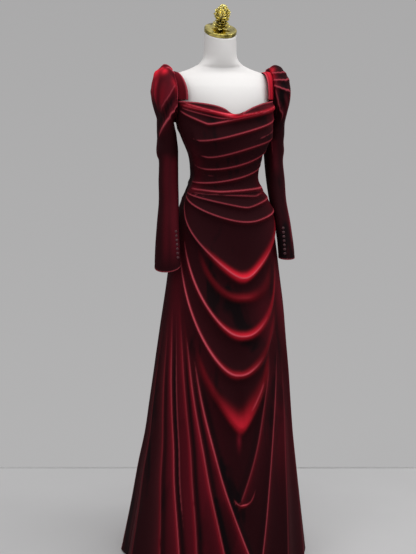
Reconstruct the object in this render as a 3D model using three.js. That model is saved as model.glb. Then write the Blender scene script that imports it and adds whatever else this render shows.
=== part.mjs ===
// A long-sleeved velvet prom gown standing on a limbless dress form.
// Millimetres, +Z up. The gown faces -Y, and the wearer's left is +X.
// The origin is on the floor, at the middle of the form's round base.
import * as THREE from 'three';

// Cloth
const velvet = 1.6;           // thickness of the velvet with its fold allowances
const seam = 0.3;             // gap between two pieces that are sewn together
const armholeSeam = 0.8;      // gap at the armhole, where the two edges have their own rows
const waistZ = 1178;          // where the bodice is sewn to the skirt
const hemZ = 5;               // the hem just clears the floor
// How many points across and up each panel has. Panels that share a seam share their rows.
const bodiceGrid = { front: 34, back: 11, rows: 14 };
const skirtGrid = { front: 33, back: 11, lowRows: 8, swagRows: 25, swagFootZ: 470 };

// Rows of numbers under named columns
function table(columns, rows) {
  return rows.map((row) => Object.fromEntries(columns.split(' ').map((name, i) => [name, row[i]])));
}

// Outer surface of the gown, from the hem to the chest, without its folds. shift is how far a
// section's middle is to the wearer's left.
const gownSections = table('z half front back centre shift', [
  [0, 287, 328, 352, 110, 6],
  [177, 259.5, 294, 310, 80, 5],
  [317, 240, 260, 270, 58, 3.5],
  [420, 224.5, 232, 244, 42, 4.5],
  [520, 214.5, 206, 220, 31, 5],
  [686, 199, 168, 182, 16, 7],
  [813, 188.5, 146, 162, 10, 7.5],
  [923, 175, 132, 150, 7, 6],
  [1040, 160, 122, 140, 6, 5],
  [1100, 148, 115, 131, 5, 5],
  [1154, 131, 105, 114, 3, 5],
  [1184, 117, 97, 100, 2, 3],
  [1214, 105, 92, 90, 0, 3],
  [1245, 105, 93, 88, -2, 4],
  [1290, 112, 102, 90, -6, 4],
  [1340, 131, 115, 94, -7, 2],
  [1400, 149, 116, 96, 0, 0],
  [1452, 156, 110, 96, 4, 0],
  [1500, 158, 92, 92, 12, 0],
]);

// Fullness over the bust, the same on both sides: its middle, its height out from the sections
// and its widths round the body in degrees and up it
const bust = { angle: 54, z: 1348, lift: 15, round: 27, up: 58 };

// Pleats and cowls that hang from a left point to a right point by way of a lowest one.
// Angles are in degrees round the body from the front, to the wearer's left. bend and round say
// how straight the two arms are and how round the bottom is. lift is the crest's height, above
// and below are its widths on either side.
const hangingFolds = table('left leftZ low lowZ right rightZ bend round lift above below', [
  [-64, 1440, -1, 1403, 76, 1431, 0.8, 0.08, 9, 12, 7],
  [-66, 1420, -30, 1384, 78, 1434, 0.8, 0.15, 8, 17, 9],
  [-54, 1342, -43, 1336, 76, 1404, 1, 0.22, 10, 20, 9],
  [-64, 1299, -38, 1287, 76, 1349, 0.9, 0.3, 10, 19, 9],
  [-70, 1265, -39, 1251, 76, 1312, 1.6, 0.08, 9, 16, 8],
  [-78, 1214, -51, 1211, 76, 1265, 1.6, 0.08, 9, 16, 8],
  [-70, 1194, -19, 1186, 76, 1194, 0.8, 0.22, 6, 9, 6],
  [-82, 1184, 34, 1170, 70, 1186, 0.8, 0.08, 6, 9, 7],
  [-82, 1184, 16, 1138, 76, 1168, 0.8, 0.15, 9, 15, 8],
  [-80, 1175, 16, 1096, 78, 1136, 1.1, 0.22, 12, 20, 10],
  [-76, 1150, 6, 932, 76, 1134, 1, 0.13, 20, 38, 15],
  [-36, 984, 7, 872, 40, 946, 1.7, 0.3, 9, 26, 13],
  [-56, 1008, 4, 760, 50, 935, 1.2, 0.3, 17, 34, 15],
  [-60, 950, -1, 646, 40, 800, 1.2, 0.22, 18, 32, 15],
  [-36, 690, -1, 492, 27, 672, 1.1, 0.08, 20, 42, 16],
  [-8, 268, -1, 256, 12, 312, 1.9, 0.3, 10, 30, 14],
]);

// Long folds that run down the skirt, from top to low, growing wider on the way. bow is how
// many degrees the middle of the line lies to the wearer's left of a straight one.
const longFolds = table('top topZ low lowZ bow lift width', [
  [-92, 840, -80, 0, 0, 12, 40],
  [-79, 827, -52, 0, 1, 12, 32],
  [-72, 860, -37, 0, 1, 16, 30],
  [-62, 893, -28, 0, 5, 12, 24],
  [-52, 836, -8, 0, 5, 17, 36],
  [-40, 750, 10, 0, -2, 16, 28],
  [30, 740, 0, 300, 3, 13, 26],
  [44, 731, 8, 0, -3, 10, 24],
  [51, 698, 30, 0, -2, 14, 34],
  [64, 860, 53, 0, 0, 13, 36],
  [82, 820, 76, 0, 0, 10, 40],
  [104, 900, 101, 0, 0, 15, 44],
  [126, 960, 122, 0, 0, 18, 46],
  [148, 900, 146, 0, 0, 20, 48],
  [167, 760, 168, 0, 0, 16, 42],
  [-168, 800, -167, 0, 0, 18, 44],
  [-147, 930, -144, 0, 0, 20, 48],
  [-125, 880, -120, 0, 0, 16, 44],
  [-104, 940, -101, 0, 0, 15, 44],
]);

// Upper edge of the bodice between the straps: a dipped sweetheart in front, a low curve behind
const frontNeckline = [
  { angle: -90, z: 1450 }, { angle: -64, z: 1450 }, { angle: -38, z: 1446 }, { angle: -20, z: 1438 },
  { angle: -10, z: 1428 }, { angle: -2, z: 1413 }, { angle: 10, z: 1419 }, { angle: 22, z: 1432 },
  { angle: 39, z: 1444 }, { angle: 65, z: 1450 }, { angle: 90, z: 1450 },
];
const backNeckline = [
  { angle: 120, z: 1454 }, { angle: 150, z: 1452 }, { angle: 165, z: 1442 }, { angle: 180, z: 1438 },
];

// The armhole is an ellipse seen from the side. Its upper half is the strap's outer edge.
const armhole = { y: 22, z: 1462, foreAft: 56, height: 75, underarmZ: 1420 };
const strap = {
  outerX: { front: 149, top: 155, back: 112 },
  widthLeft: { front: 24, top: 25, back: 26 },
  widthRight: { front: 24, top: 18, back: 26 },   // the right puff covers more of its strap
  from: -9, to: 189, rows: 14, across: 4,
  joinZ: 1452, join: 16,                 // where the armhole leaves the bodice for the strap
  clearance: 3, droop: 2, forward: 26,   // its ends' height over the bodice, its fall and lean inward
};

// Wearer's-left sleeve. The first rings fan out from the underarm and make the puffed head:
// in and out are a ring's nearest and furthest points from the body, seen from the front.
const puffRings = [
  { inX: 158, inZ: 1387, outX: 163, outZ: 1547, y: 21, depth: 62, bow: 17 },
  { inX: 157, inZ: 1385, outX: 178, outZ: 1552, y: 20, depth: 68, bow: 10 },
  { inX: 155, inZ: 1382, outX: 198, outZ: 1538, y: 19, depth: 71, bow: 5 },
  { inX: 153, inZ: 1378, outX: 211, outZ: 1505, y: 18, depth: 71, bow: 0 },
  { inX: 150, inZ: 1372, outX: 213, outZ: 1465, y: 18, depth: 65, bow: 0 },
  { inX: 147, inZ: 1364, outX: 205, outZ: 1422, y: 17, depth: 56, bow: 0 },
  { inX: 143, inZ: 1352, outX: 199, outZ: 1387, y: 17, depth: 48, bow: 0 },
  { inX: 140, inZ: 1334, outX: 199, outZ: 1354, y: 17, depth: 42, bow: 0 },
];
// Below the puff the rings lie level. long and short are half widths, and turn is how far
// the long way is turned inward at the front.
const armRings = [
  { x: 168, y: 16, z: 1306, long: 37, short: 31, turn: 5 },
  { x: 166, y: 13, z: 1268, long: 34, short: 28, turn: 8 },
  { x: 169, y: 4, z: 1213, long: 36, short: 28, turn: 12 },
  { x: 172, y: -10, z: 1153, long: 39, short: 26, turn: 17 },
  { x: 180, y: -29, z: 1092, long: 43, short: 25, turn: 22 },
  { x: 185, y: -43, z: 1038, long: 47, short: 24, turn: 27 },
  { x: 187, y: -50, z: 1006, long: 49, short: 24, turn: 29 },
  { x: 188, y: -54, z: 979, long: 50, short: 24, turn: 30 },
];
const sleeveWall = 1.4;
const sleeveSides = 22;
const cuffSlant = { left: 5, right: 30 };   // how much lower the cuff is on its outer side
// Pleats that fan out of the sleeve head: side is degrees round the ring from its outer point,
// to the front. fades is the puff ring by which the pleat has gone.
const headPleats = [
  { side: 26, lift: 9, width: 11, fades: 5 },
  { side: 47, lift: 8, width: 10, fades: 5 },
  { side: 68, lift: 8, width: 11, fades: 6 },
  { side: 96, lift: 10, width: 13, fades: 7 },
  { side: -24, lift: 9, width: 12, fades: 5 },
  { side: -50, lift: 8, width: 12, fades: 5 },
  { side: -80, lift: 9, width: 14, fades: 6 },
];

const button = { radius: 4.6, height: 3.6, sides: 8, count: 7, firstZ: 1070, pitch: 12.5, column: 5 };

// Concealed zip in the centre back seam
const zip = { lowZ: 1010, halfWidth: 11, thickness: 0.8, gap: 0.8 };
const slider = { z: 1424, width: 3, length: 10, plate: 1.4, axis: 3.4, hole: 1.35, crown: 2.2 };
const pull = { width: 6.4, tip: 3.6, length: 24, thickness: 1.1, bar: 1.4, slot: 4.2, slotLength: 4.6 };

// Dress form, closed at its foot and cut on a slant at its neck
const formSections = [
  { z: 962, half: 126, front: 94, back: 96, centre: 4 },
  { z: 1000, half: 138, front: 104, back: 114, centre: 4 },
  { z: 1050, half: 142, front: 106, back: 120, centre: 4 },
  { z: 1100, half: 131, front: 101, back: 114, centre: 4 },
  { z: 1154, half: 114, front: 92, back: 98, centre: 3 },
  { z: 1190, half: 98, front: 84, back: 85, centre: 2 },
  { z: 1240, half: 90, front: 80, back: 76, centre: 0 },
  { z: 1290, half: 97, front: 88, back: 78, centre: -4 },
  { z: 1340, half: 117, front: 101, back: 82, centre: -5 },
  { z: 1400, half: 136, front: 102, back: 84, centre: 2 },
  { z: 1452, half: 143, front: 94, back: 77, centre: 8 },
  { z: 1490, half: 143, front: 84, back: 62, centre: 18 },
  { z: 1514, half: 140, front: 62, back: 48, centre: 24 },
  { z: 1526, half: 135.4, front: 45, back: 44, centre: 28 },
  { z: 1534, half: 122, front: 39, back: 39, centre: 30 },
  { z: 1545, half: 90, front: 38, back: 38, centre: 31 },
  { z: 1558, half: 67, front: 43, back: 42, centre: 31 },
  { z: 1576, half: 53, front: 47, back: 46, centre: 31 },
  { z: 1600, half: 49, front: 48, back: 48, centre: 30 },
  { z: 1650, half: 48.5, front: 48.5, back: 48.5, centre: 30 },
];
const formSides = 24;
const neck = { y: 30, z: 1653, slant: 25 };     // middle of the slanted cut, and its slant in degrees
const cap = { radius: 49, thickness: 12, bevel: 2, sides: 32 };
const pole = { radius: 13, sides: 16 };
const base = { radius: 152, height: 12, bevel: 3, collar: 24, collarHeight: 34, sides: 40 };

// Finial on the cap, its leafy stem given as [radius, height] pairs
const stemProfile = [[0, 0], [15, 0], [16, 3], [9, 6], [8, 10], [11, 16], [15.5, 22], [0, 22]];
const cone = { length: 56, radius: 22, rows: 6, relief: 1.5, sides: 16 };

// Finishes
function finish(color, roughness, metalness = 0) {
  return new THREE.MeshStandardMaterial({ color, roughness, metalness });
}
const materials = {
  velvet: finish(0x4a0716, 0.9),
  covered: finish(0x560a1a, 0.85),
  zipTape: finish(0x3c0612, 0.8),
  zipMetal: finish(0x7a1020, 0.4, 0.6),
  jersey: finish(0xe9e6e0, 0.9),
  gold: finish(0xb8873a, 0.35, 1),
  iron: finish(0xd8d6d2, 0.45, 0.3),
};

const root = new THREE.Group();
const rad = THREE.MathUtils.degToRad;

function addMesh(name, geometry, material, parent = root) {
  geometry.computeVertexNormals();
  const mesh = new THREE.Mesh(geometry, material);
  mesh.name = name;
  parent.add(mesh);
  return mesh;
}

function smooth(t) {
  const s = THREE.MathUtils.clamp(t, 0, 1);
  return s * s * (3 - 2 * s);
}

// Smooth curve through a table's rows: every other column at a value of the key column
function lookUp(rows, key, value) {
  const at = THREE.MathUtils.clamp(value, rows[0][key], rows.at(-1)[key]);
  let i = rows.findIndex((row) => row[key] > at) - 1;
  if (i < 0) i = rows.length - 2;
  const span = rows[i + 1][key] - rows[i][key];
  const t = (at - rows[i][key]) / span;
  const slope = (k, column) => {
    const a = rows[Math.max(k - 1, 0)];
    const b = rows[Math.min(k + 1, rows.length - 1)];
    return (b[column] - a[column]) / (b[key] - a[key]);
  };
  const result = {};
  for (const column of Object.keys(rows[i])) {
    const m0 = slope(i, column) * span;
    const m1 = slope(i + 1, column) * span;
    result[column] = (2 * t ** 3 - 3 * t ** 2 + 1) * rows[i][column] + (t ** 3 - 2 * t ** 2 + t) * m0
      + (3 * t ** 2 - 2 * t ** 3) * rows[i + 1][column] + (t ** 3 - t ** 2) * m1;
  }
  return result;
}

// Height of one hanging fold at a place on the gown
function hangingLift(fold, angle, z, radius) {
  const toLeft = angle < fold.low;
  const span = toLeft ? fold.low - fold.left : fold.right - fold.low;
  const rise = (toLeft ? fold.leftZ : fold.rightZ) - fold.lowZ;
  const u = Math.max(Math.abs(angle - fold.low) / span, 0.02);
  if (u > 1.2) return 0;
  const full = Math.hypot(1, fold.round) - fold.round;
  const climb = Math.max((Math.hypot(u, fold.round) - fold.round) / full, 0.001);
  const crestZ = fold.lowZ + rise * climb ** fold.bend;
  const steepness = fold.bend * climb ** (fold.bend - 1) * u / Math.hypot(u, fold.round) / full;
  const slope = steepness * rise / (span * rad(1) * radius);
  const across = (z - crestZ) / Math.hypot(1, slope);
  const width = across > 0 ? fold.above : fold.below;
  return fold.lift * (1 - smooth((u - 0.5) / 0.7)) * Math.exp(-((across / width) ** 2));
}

// Height of one long fold, which grows from nothing at its top
function longLift(fold, angle, z, radius) {
  const t = (fold.topZ - z) / (fold.topZ - fold.lowZ);
  if (t <= 0 || t > 1.2) return 0;
  const crest = fold.top + (fold.low - fold.top) * t + 4 * fold.bow * t * (1 - t);
  const turned = ((angle - crest + 540) % 360) - 180;
  const across = turned * rad(1) * radius;
  const width = fold.width * (0.55 + 0.45 * t);
  const fade = smooth(t / 0.3) * (1 - smooth((t - 1) / 0.2));
  return fold.lift * fade * (0.5 + 0.5 * Math.min(t, 1)) * Math.exp(-((across / width) ** 2));
}

// How far a place seen from the side is from the armhole: 1 on it, more outside it
function armholeReach(y, z) {
  return Math.hypot((y - armhole.y) / armhole.foreAft, (z - armhole.z) / armhole.height);
}

// Total height of the folds, which end at the side seams
function foldLift(angle, z, radius) {
  const towardsSide = 1 - smooth((Math.abs(angle) - 74) / 12);
  const hanging = hangingFolds.reduce((sum, fold) => sum + hangingLift(fold, angle, z, radius), 0);
  const long = longFolds.reduce((sum, fold) => sum + longLift(fold, angle, z, radius), 0);
  const besideBust = (Math.abs(angle) - bust.angle) / bust.round;
  const fullness = bust.lift * Math.exp(-(besideBust ** 2) - ((z - bust.z) / bust.up) ** 2);
  return (hanging + fullness) * towardsSide + long;
}

// Point of the gown's outer surface, folds and all
function gownPoint(angle, z) {
  const s = lookUp(gownSections, 'z', z);
  const sin = Math.sin(rad(angle));
  const cos = Math.cos(rad(angle));
  const depth = cos > 0 ? s.front : s.back;
  const flatY = s.centre - depth * cos;
  const lift = foldLift(angle, z, (s.half + depth) / 2) * smooth((armholeReach(flatY, z) - 1) / 0.3);
  const outward = new THREE.Vector2(depth * sin, -s.half * cos).normalize();
  return new THREE.Vector3(s.shift + s.half * sin + outward.x * lift, flatY + outward.y * lift, z);
}

// Height of the armhole's lower half at an angle on the bodice, or null beside it
function armholeZ(angle) {
  const across = (gownPoint(angle, armhole.underarmZ).y - armhole.y) / armhole.foreAft;
  if (Math.abs(across) >= 1) return null;
  return armhole.z - armhole.height * Math.sqrt(1 - across ** 2) - seam;
}

function upperEdge(angle) {
  const neckline = Math.abs(angle) <= 90
    ? lookUp(frontNeckline, 'angle', angle).z
    : lookUp(backNeckline, 'angle', Math.abs(angle)).z;
  const underarm = armholeZ(angle);
  return underarm === null ? neckline : Math.min(neckline, underarm);
}

// Side of the bodice at a given place seen from the side
function sideX(y, z) {
  const s = lookUp(gownSections, 'z', z);
  const depth = y < s.centre ? s.front : s.back;
  const cos = THREE.MathUtils.clamp((s.centre - y) / depth, -1, 1);
  const angle = THREE.MathUtils.radToDeg(Math.acos(cos));
  return gownPoint(angle, z).x;
}

// Value that changes round an ellipse from front to top to back
function roundStrap({ front, top, back }, turn) {
  const cos = Math.cos(rad(turn));
  return (cos > 0 ? front : back) * cos ** 2 + top * (1 - cos ** 2);
}

// Point of the armhole seam. turn is 0 in front, 90 at the shoulder and 180 behind.
function armholePoint(turn, outward = 0) {
  const y = armhole.y - armhole.foreAft * Math.cos(rad(turn));
  const z = armhole.z + armhole.height * Math.sin(rad(turn));
  const onStrap = roundStrap(strap.outerX, turn);
  const onBodice = z < strap.joinZ ? sideX(y, z) : onStrap;
  const x = THREE.MathUtils.lerp(onBodice, onStrap, smooth((z - strap.joinZ) / strap.join + 1));
  return new THREE.Vector3(x + outward, y, z);
}

// Closed solid between a grid of outer points and a grid of inner ones. Each row may close on itself.
function wall(outer, inner, closed = false) {
  const height = outer.length;
  const width = outer[0].length;
  const positions = [...outer.flat(), ...inner.flat()].flatMap((p) => [p.x, p.y, p.z]);
  const under = height * width;
  const at = (i, j) => i * width + (j % width);
  const columns = closed ? width : width - 1;
  const index = [];
  const quad = (a, b, c, d) => index.push(a, b, c, a, c, d);
  for (let i = 0; i < height - 1; i += 1) {
    for (let j = 0; j < columns; j += 1) {
      const [a, b, c, d] = [at(i, j), at(i, j + 1), at(i + 1, j + 1), at(i + 1, j)];
      quad(a, b, c, d);
      quad(a + under, d + under, c + under, b + under);
    }
  }
  const rim = (a, b) => quad(b, a, a + under, b + under);
  for (let j = 0; j < columns; j += 1) {
    rim(at(0, j), at(0, j + 1));
    rim(at(height - 1, j + 1), at(height - 1, j));
  }
  for (let i = 0; i < height - 1 && !closed; i += 1) {
    rim(at(i + 1, 0), at(i, 0));
    rim(at(i, width - 1), at(i + 1, width - 1));
  }
  const geometry = new THREE.BufferGeometry();
  geometry.setAttribute('position', new THREE.Float32BufferAttribute(positions, 3));
  geometry.setIndex(index);
  return geometry;
}

// Grid of points set in from a grid's surface, square to it
function setIn(rows, depth, closed = false) {
  const width = rows[0].length;
  const row = (i) => rows[THREE.MathUtils.clamp(i, 0, rows.length - 1)];
  const point = (i, j) => row(i)[closed ? (j + width) % width : THREE.MathUtils.clamp(j, 0, width - 1)];
  return rows.map((points, i) => points.map((p, j) => {
    const along = new THREE.Vector3().subVectors(point(i, j + 1), point(i, j - 1));
    const up = new THREE.Vector3().subVectors(point(i + 1, j), point(i - 1, j));
    return p.clone().addScaledVector(up.cross(along).normalize(), depth);
  }));
}

// Evenly spaced values from a to b
function steps(a, b, count) {
  return Array.from({ length: count }, (_, i) => a + (b - a) * i / (count - 1));
}

// Point at a depth under the gown's outer surface, square to it
function gownInner(angle, z, depth) {
  const along = new THREE.Vector3().subVectors(gownPoint(angle + 1, z), gownPoint(angle - 1, z));
  const up = new THREE.Vector3().subVectors(gownPoint(angle, z + 4), gownPoint(angle, z - 4));
  return gownPoint(angle, z).addScaledVector(up.cross(along).normalize(), depth);
}

// Panel of the gown between two angles, from a lower to an upper edge
function gownPanel(name, fromAngle, toAngle, columns, levels, lower, upper) {
  const grid = levels.map((level) => steps(fromAngle, toAngle, columns).map((angle, j) => {
    const z = THREE.MathUtils.lerp(lower, upper(angle), level);
    const inFromEdge = Number(j === 0) - Number(j === columns - 1);
    const halfSeam = THREE.MathUtils.radToDeg(seam / 2 / lookUp(gownSections, 'z', z).half);
    return { angle: angle + inFromEdge * halfSeam, z };
  }));
  const outer = grid.map((row) => row.map(({ angle, z }) => gownPoint(angle, z)));
  const inner = grid.map((row) => row.map(({ angle, z }) => gownInner(angle, z, velvet)));
  return addMesh(name, wall(outer, inner), materials.velvet);
}

// Heights of the skirt's rows as fractions of its length, closer together among the swags
function skirtLevels() {
  const swagFoot = (skirtGrid.swagFootZ - hemZ) / (waistZ - seam / 2 - hemZ);
  return [...steps(0, swagFoot, skirtGrid.lowRows), ...steps(swagFoot, 1, skirtGrid.swagRows).slice(1)];
}

function makeGownBody() {
  const bodiceRows = steps(0, 1, bodiceGrid.rows);
  const bodiceFoot = waistZ + seam / 2;
  gownPanel('bodice_front', -90, 90, bodiceGrid.front, bodiceRows, bodiceFoot, upperEdge);
  gownPanel('bodice_back_left', 90, 180, bodiceGrid.back, bodiceRows, bodiceFoot, upperEdge);
  gownPanel('bodice_back_right', -180, -90, bodiceGrid.back, bodiceRows, bodiceFoot, upperEdge);
  const skirtTop = waistZ - seam / 2;
  const skirtRows = skirtLevels();
  gownPanel('skirt_front', -90, 90, skirtGrid.front, skirtRows, hemZ, () => skirtTop);
  gownPanel('skirt_back_left', 90, 180, skirtGrid.back, skirtRows, hemZ, () => skirtTop);
  gownPanel('skirt_back_right', -180, -90, skirtGrid.back, skirtRows, hemZ, () => skirtTop);
}

// Mirrors a grid of points to the wearer's right and keeps its faces outward
function mirrored(rows) {
  return rows.map((row) => row.map((p) => new THREE.Vector3(-p.x, p.y, p.z)).reverse());
}

function makeStrap(name, widths, mirror) {
  const rows = steps(strap.from, strap.to, strap.rows).map((turn) => {
    const outer = armholePoint(turn, -seam);
    const width = roundStrap(widths, turn);
    const pastEnd = turn < 0 || turn > 180 ? strap.clearance : 0;
    const droop = strap.droop * Math.sin(rad(turn));
    const forward = strap.forward * Math.max(Math.cos(rad(turn)), 0);
    return steps(0, 1, strap.across).map((t) => new THREE.Vector3(
      outer.x - width * t,
      outer.y - forward * t,
      outer.z + pastEnd - droop * t ** 2,
    ));
  });
  const outer = mirror ? mirrored(rows) : rows;
  addMesh(name, wall(outer, setIn(outer, velvet)), materials.velvet);
}

// Grid of points down the wearer's-left sleeve, from the armhole to the cuff
function sleeveRows(slant) {
  const sides = Array.from({ length: sleeveSides }, (_, j) => 360 * j / sleeveSides);
  const head = sides.map((side) => armholePoint(90 - side, armholeSeam));
  const puff = puffRings.map((ring, i) => sides.map((side) => {
    const [c, s] = [Math.cos(rad(side)), Math.sin(rad(side))];
    const out = new THREE.Vector3(ring.outX - ring.inX, 0, ring.outZ - ring.inZ).divideScalar(2);
    const middle = new THREE.Vector3(ring.inX, ring.y, ring.inZ).add(out);
    const spoke = out.clone().multiplyScalar(c).add(new THREE.Vector3(0, -ring.depth * s, 0));
    const lift = headPleats.reduce((sum, pleat) => {
      const across = (((side - pleat.side + 540) % 360) - 180) / pleat.width;
      const fade = smooth((i + 1) / 2) * (1 - smooth((i - pleat.fades + 3) / 3));
      return sum + pleat.lift * fade * Math.exp(-(across ** 2));
    }, 0);
    const inFromBow = ring.bow * s ** 2 * (s > 0 ? 0.3 : 1);
    return middle.add(spoke.setLength(spoke.length() + lift)).add(new THREE.Vector3(-inFromBow, 0, 0));
  }));
  const arm = armRings.map((ring, i) => sides.map((side) => {
    const [c, s] = [Math.cos(rad(side)) * ring.short, Math.sin(rad(side)) * ring.long];
    const [tc, ts] = [Math.cos(rad(ring.turn)), Math.sin(rad(ring.turn))];
    const nearCuff = smooth((i - armRings.length + 4) / 3);
    const drop = slant * nearCuff * (1 + Math.cos(rad(side))) / 2;
    return new THREE.Vector3(ring.x + c * tc - s * ts, ring.y - c * ts - s * tc, ring.z - drop);
  }));
  return [head, ...puff, ...arm].map((row) => row.reverse()).reverse();
}

function makeSleeve(name, slant, mirror) {
  const rows = sleeveRows(slant);
  const outer = mirror ? mirrored(rows) : rows;
  return addMesh(name, wall(outer, setIn(outer, sleeveWall, true), true), materials.velvet);
}

// Closed lathe from [radius, height] pairs, turned about its own Y axis
function lathe(pairs, sides) {
  return new THREE.LatheGeometry(pairs.map(([r, h]) => new THREE.Vector2(r, h)), sides);
}

// Buttons stand on a sleeve's own points, along one line of its grid
function makeButtons(side, slant, mirror) {
  const { radius, height, column } = button;
  const profile = [[0, 0], [radius, 0], [radius, 0.3 * height], [0.7 * radius, 0.8 * height], [0, height]];
  const rows = sleeveRows(slant);
  const line = sleeveSides - 1 - column;
  for (let k = 0; k < button.count; k += 1) {
    const z = button.firstZ - k * button.pitch;
    const i = rows.findIndex((row) => row[line].z > z) - 1;
    const t = (z - rows[i][line].z) / (rows[i + 1][line].z - rows[i][line].z);
    const spot = rows[i][line].clone().lerp(rows[i + 1][line], t);
    const along = new THREE.Vector3().subVectors(rows[i][line + 1], rows[i][line - 1]);
    const up = new THREE.Vector3().subVectors(rows[i + 1][line], rows[i][line]);
    const outward = along.cross(up).normalize();
    spot.addScaledVector(outward, seam);
    if (mirror) [spot, outward].forEach((v) => v.setX(-v.x));
    const mesh = addMesh(`button_${side}_${k + 1}`, lathe(profile, button.sides), materials.covered);
    mesh.quaternion.setFromUnitVectors(new THREE.Vector3(0, 1, 0), outward);
    mesh.position.copy(spot);
  }
}

function extrude(shape, depth) {
  return new THREE.ExtrudeGeometry(shape, { depth, bevelEnabled: false, curveSegments: 8 });
}

// Zip tape under the two back halves, at the heights of their own rows
function makeZip() {
  const backTop = upperEdge(180);
  const heights = [...skirtLevels().map((t) => THREE.MathUtils.lerp(hemZ, waistZ - seam / 2, t)),
    ...steps(waistZ + seam / 2, backTop, bodiceGrid.rows)].filter((z) => z > zip.lowZ && z < backTop);
  const grid = (depth) => heights.map((z) => {
    const spread = THREE.MathUtils.radToDeg(zip.halfWidth / lookUp(gownSections, 'z', z).half);
    return steps(180 - spread, 180 + spread, 3).map((angle) => gownInner(angle, z, depth));
  });
  const face = velvet + zip.gap;
  addMesh('zip_tape', wall(grid(face), grid(face + zip.thickness)), materials.zipTape);

  // The slider's group has Z along the seam and Y square out of the cloth
  const seat = gownPoint(180, slider.z);
  const inner = gownInner(180, slider.z, velvet);
  const group = new THREE.Group();
  group.position.copy(seat);
  group.rotation.x = Math.atan2(seat.z - inner.z, seat.y - inner.y);
  root.add(group);

  const side = new THREE.Shape();
  const top = seam + slider.plate;
  side.moveTo(-slider.length / 2, seam);
  side.lineTo(slider.length / 2, seam);
  side.lineTo(slider.length / 2, top);
  side.lineTo(slider.crown, top);
  side.lineTo(slider.crown, slider.axis);
  side.absarc(0, slider.axis, slider.crown, 0, Math.PI, false);
  side.lineTo(-slider.crown, top);
  side.lineTo(-slider.length / 2, top);
  side.holes.push(new THREE.Path().absarc(0, slider.axis, slider.hole, 0, 2 * Math.PI, true));
  const sliderMesh = addMesh('zip_slider', extrude(side, slider.width), materials.zipMetal, group);
  sliderMesh.rotation.y = -Math.PI / 2;
  sliderMesh.position.x = slider.width / 2;

  const tab = new THREE.Shape();
  const foot = -pull.length + pull.tip;
  tab.moveTo(-pull.width / 2, pull.bar / 2);
  tab.lineTo(-pull.width / 2, -pull.slotLength - 2 * pull.bar);
  tab.lineTo(-pull.tip, foot);
  tab.absarc(0, foot, pull.tip, Math.PI, 2 * Math.PI, false);
  tab.lineTo(pull.width / 2, -pull.slotLength - 2 * pull.bar);
  tab.lineTo(pull.width / 2, pull.bar / 2);
  const slot = new THREE.Path();
  slot.moveTo(-pull.slot / 2, -pull.bar / 2);
  slot.lineTo(pull.slot / 2, -pull.bar / 2);
  slot.lineTo(pull.slot / 2, -pull.bar / 2 - pull.slotLength);
  slot.lineTo(-pull.slot / 2, -pull.bar / 2 - pull.slotLength);
  tab.holes.push(slot);
  const pullMesh = addMesh('zip_pull', extrude(tab, pull.thickness), materials.zipMetal, group);
  pullMesh.rotation.x = Math.PI / 2;
  pullMesh.position.y = slider.axis + pull.thickness / 2;
}

// Closed loft through the form's sections, cut square to the neck's slant at its top
function makeForm() {
  const rings = formSections.map((s, i) => Array.from({ length: formSides }, (_, j) => {
    const angle = 2 * Math.PI * j / formSides;
    const depth = Math.cos(angle) > 0 ? s.front : s.back;
    const y = s.centre - depth * Math.cos(angle);
    const last = i === formSections.length - 1;
    const z = last ? neck.z + (y - neck.y) * Math.tan(rad(neck.slant)) : s.z;
    return new THREE.Vector3(s.half * Math.sin(angle), y, z);
  }));
  const foot = new THREE.Vector3(0, formSections[0].centre, formSections[0].z);
  const crown = new THREE.Vector3(0, neck.y, neck.z);
  const positions = [foot, ...rings.flat(), crown].flatMap((p) => [p.x, p.y, p.z]);
  const at = (i, j) => 1 + i * formSides + (j % formSides);
  const index = [];
  for (let j = 0; j < formSides; j += 1) {
    index.push(0, at(0, j + 1), at(0, j));
    for (let i = 0; i < rings.length - 1; i += 1) {
      index.push(at(i, j), at(i, j + 1), at(i + 1, j + 1), at(i, j), at(i + 1, j + 1), at(i + 1, j));
    }
    index.push(at(rings.length - 1, j), at(rings.length - 1, j + 1), positions.length / 3 - 1);
  }
  const geometry = new THREE.BufferGeometry();
  geometry.setAttribute('position', new THREE.Float32BufferAttribute(positions, 3));
  geometry.setIndex(index);
  addMesh('form_torso', geometry, materials.jersey);
}

// Cap and finial share the neck's slant
function makeHead() {
  const head = new THREE.Group();
  head.position.set(0, neck.y, neck.z);
  head.rotation.x = rad(90 + neck.slant);
  root.add(head);
  const { radius, thickness, bevel } = cap;
  const rim = [[0, 0], [radius - bevel, 0], [radius, bevel], [radius, thickness - bevel],
    [radius - bevel, thickness], [0, thickness]];
  addMesh('form_cap', lathe(rim, cap.sides), materials.gold, head).position.y = seam;
  const stemFoot = thickness + 2 * seam;
  addMesh('finial_stem', lathe(stemProfile, 16), materials.gold, head).position.y = stemFoot;
  const scales = steps(0, 1, 2 * cone.rows + 1).map((t, i) => {
    const egg = Math.sin(Math.PI * (0.16 + 0.84 * t) ** 0.8) * cone.radius;
    const ridge = i % 2 ? cone.relief : 0;
    return [t === 1 ? 0 : egg + ridge, t * cone.length];
  });
  const coneMesh = addMesh('finial_cone', lathe([[0, 0], ...scales], cone.sides), materials.gold, head);
  coneMesh.position.y = stemFoot + stemProfile.at(-1)[1] + seam;
}

function makeStand() {
  const { radius, height, bevel, collar, collarHeight } = base;
  const profile = [[0, 0], [radius, 0], [radius, height - bevel], [radius - bevel, height],
    [collar, height], [collar - bevel, collarHeight], [0, collarHeight]];
  addMesh('form_base', lathe(profile, base.sides), materials.iron).rotation.x = Math.PI / 2;
  const poleFoot = collarHeight + seam;
  const length = formSections[0].z - seam - poleFoot;
  const shaft = new THREE.CylinderGeometry(pole.radius, pole.radius, length, pole.sides);
  const mesh = addMesh('form_pole', shaft, materials.iron);
  mesh.rotation.x = Math.PI / 2;
  mesh.position.z = poleFoot + length / 2;
}

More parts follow.
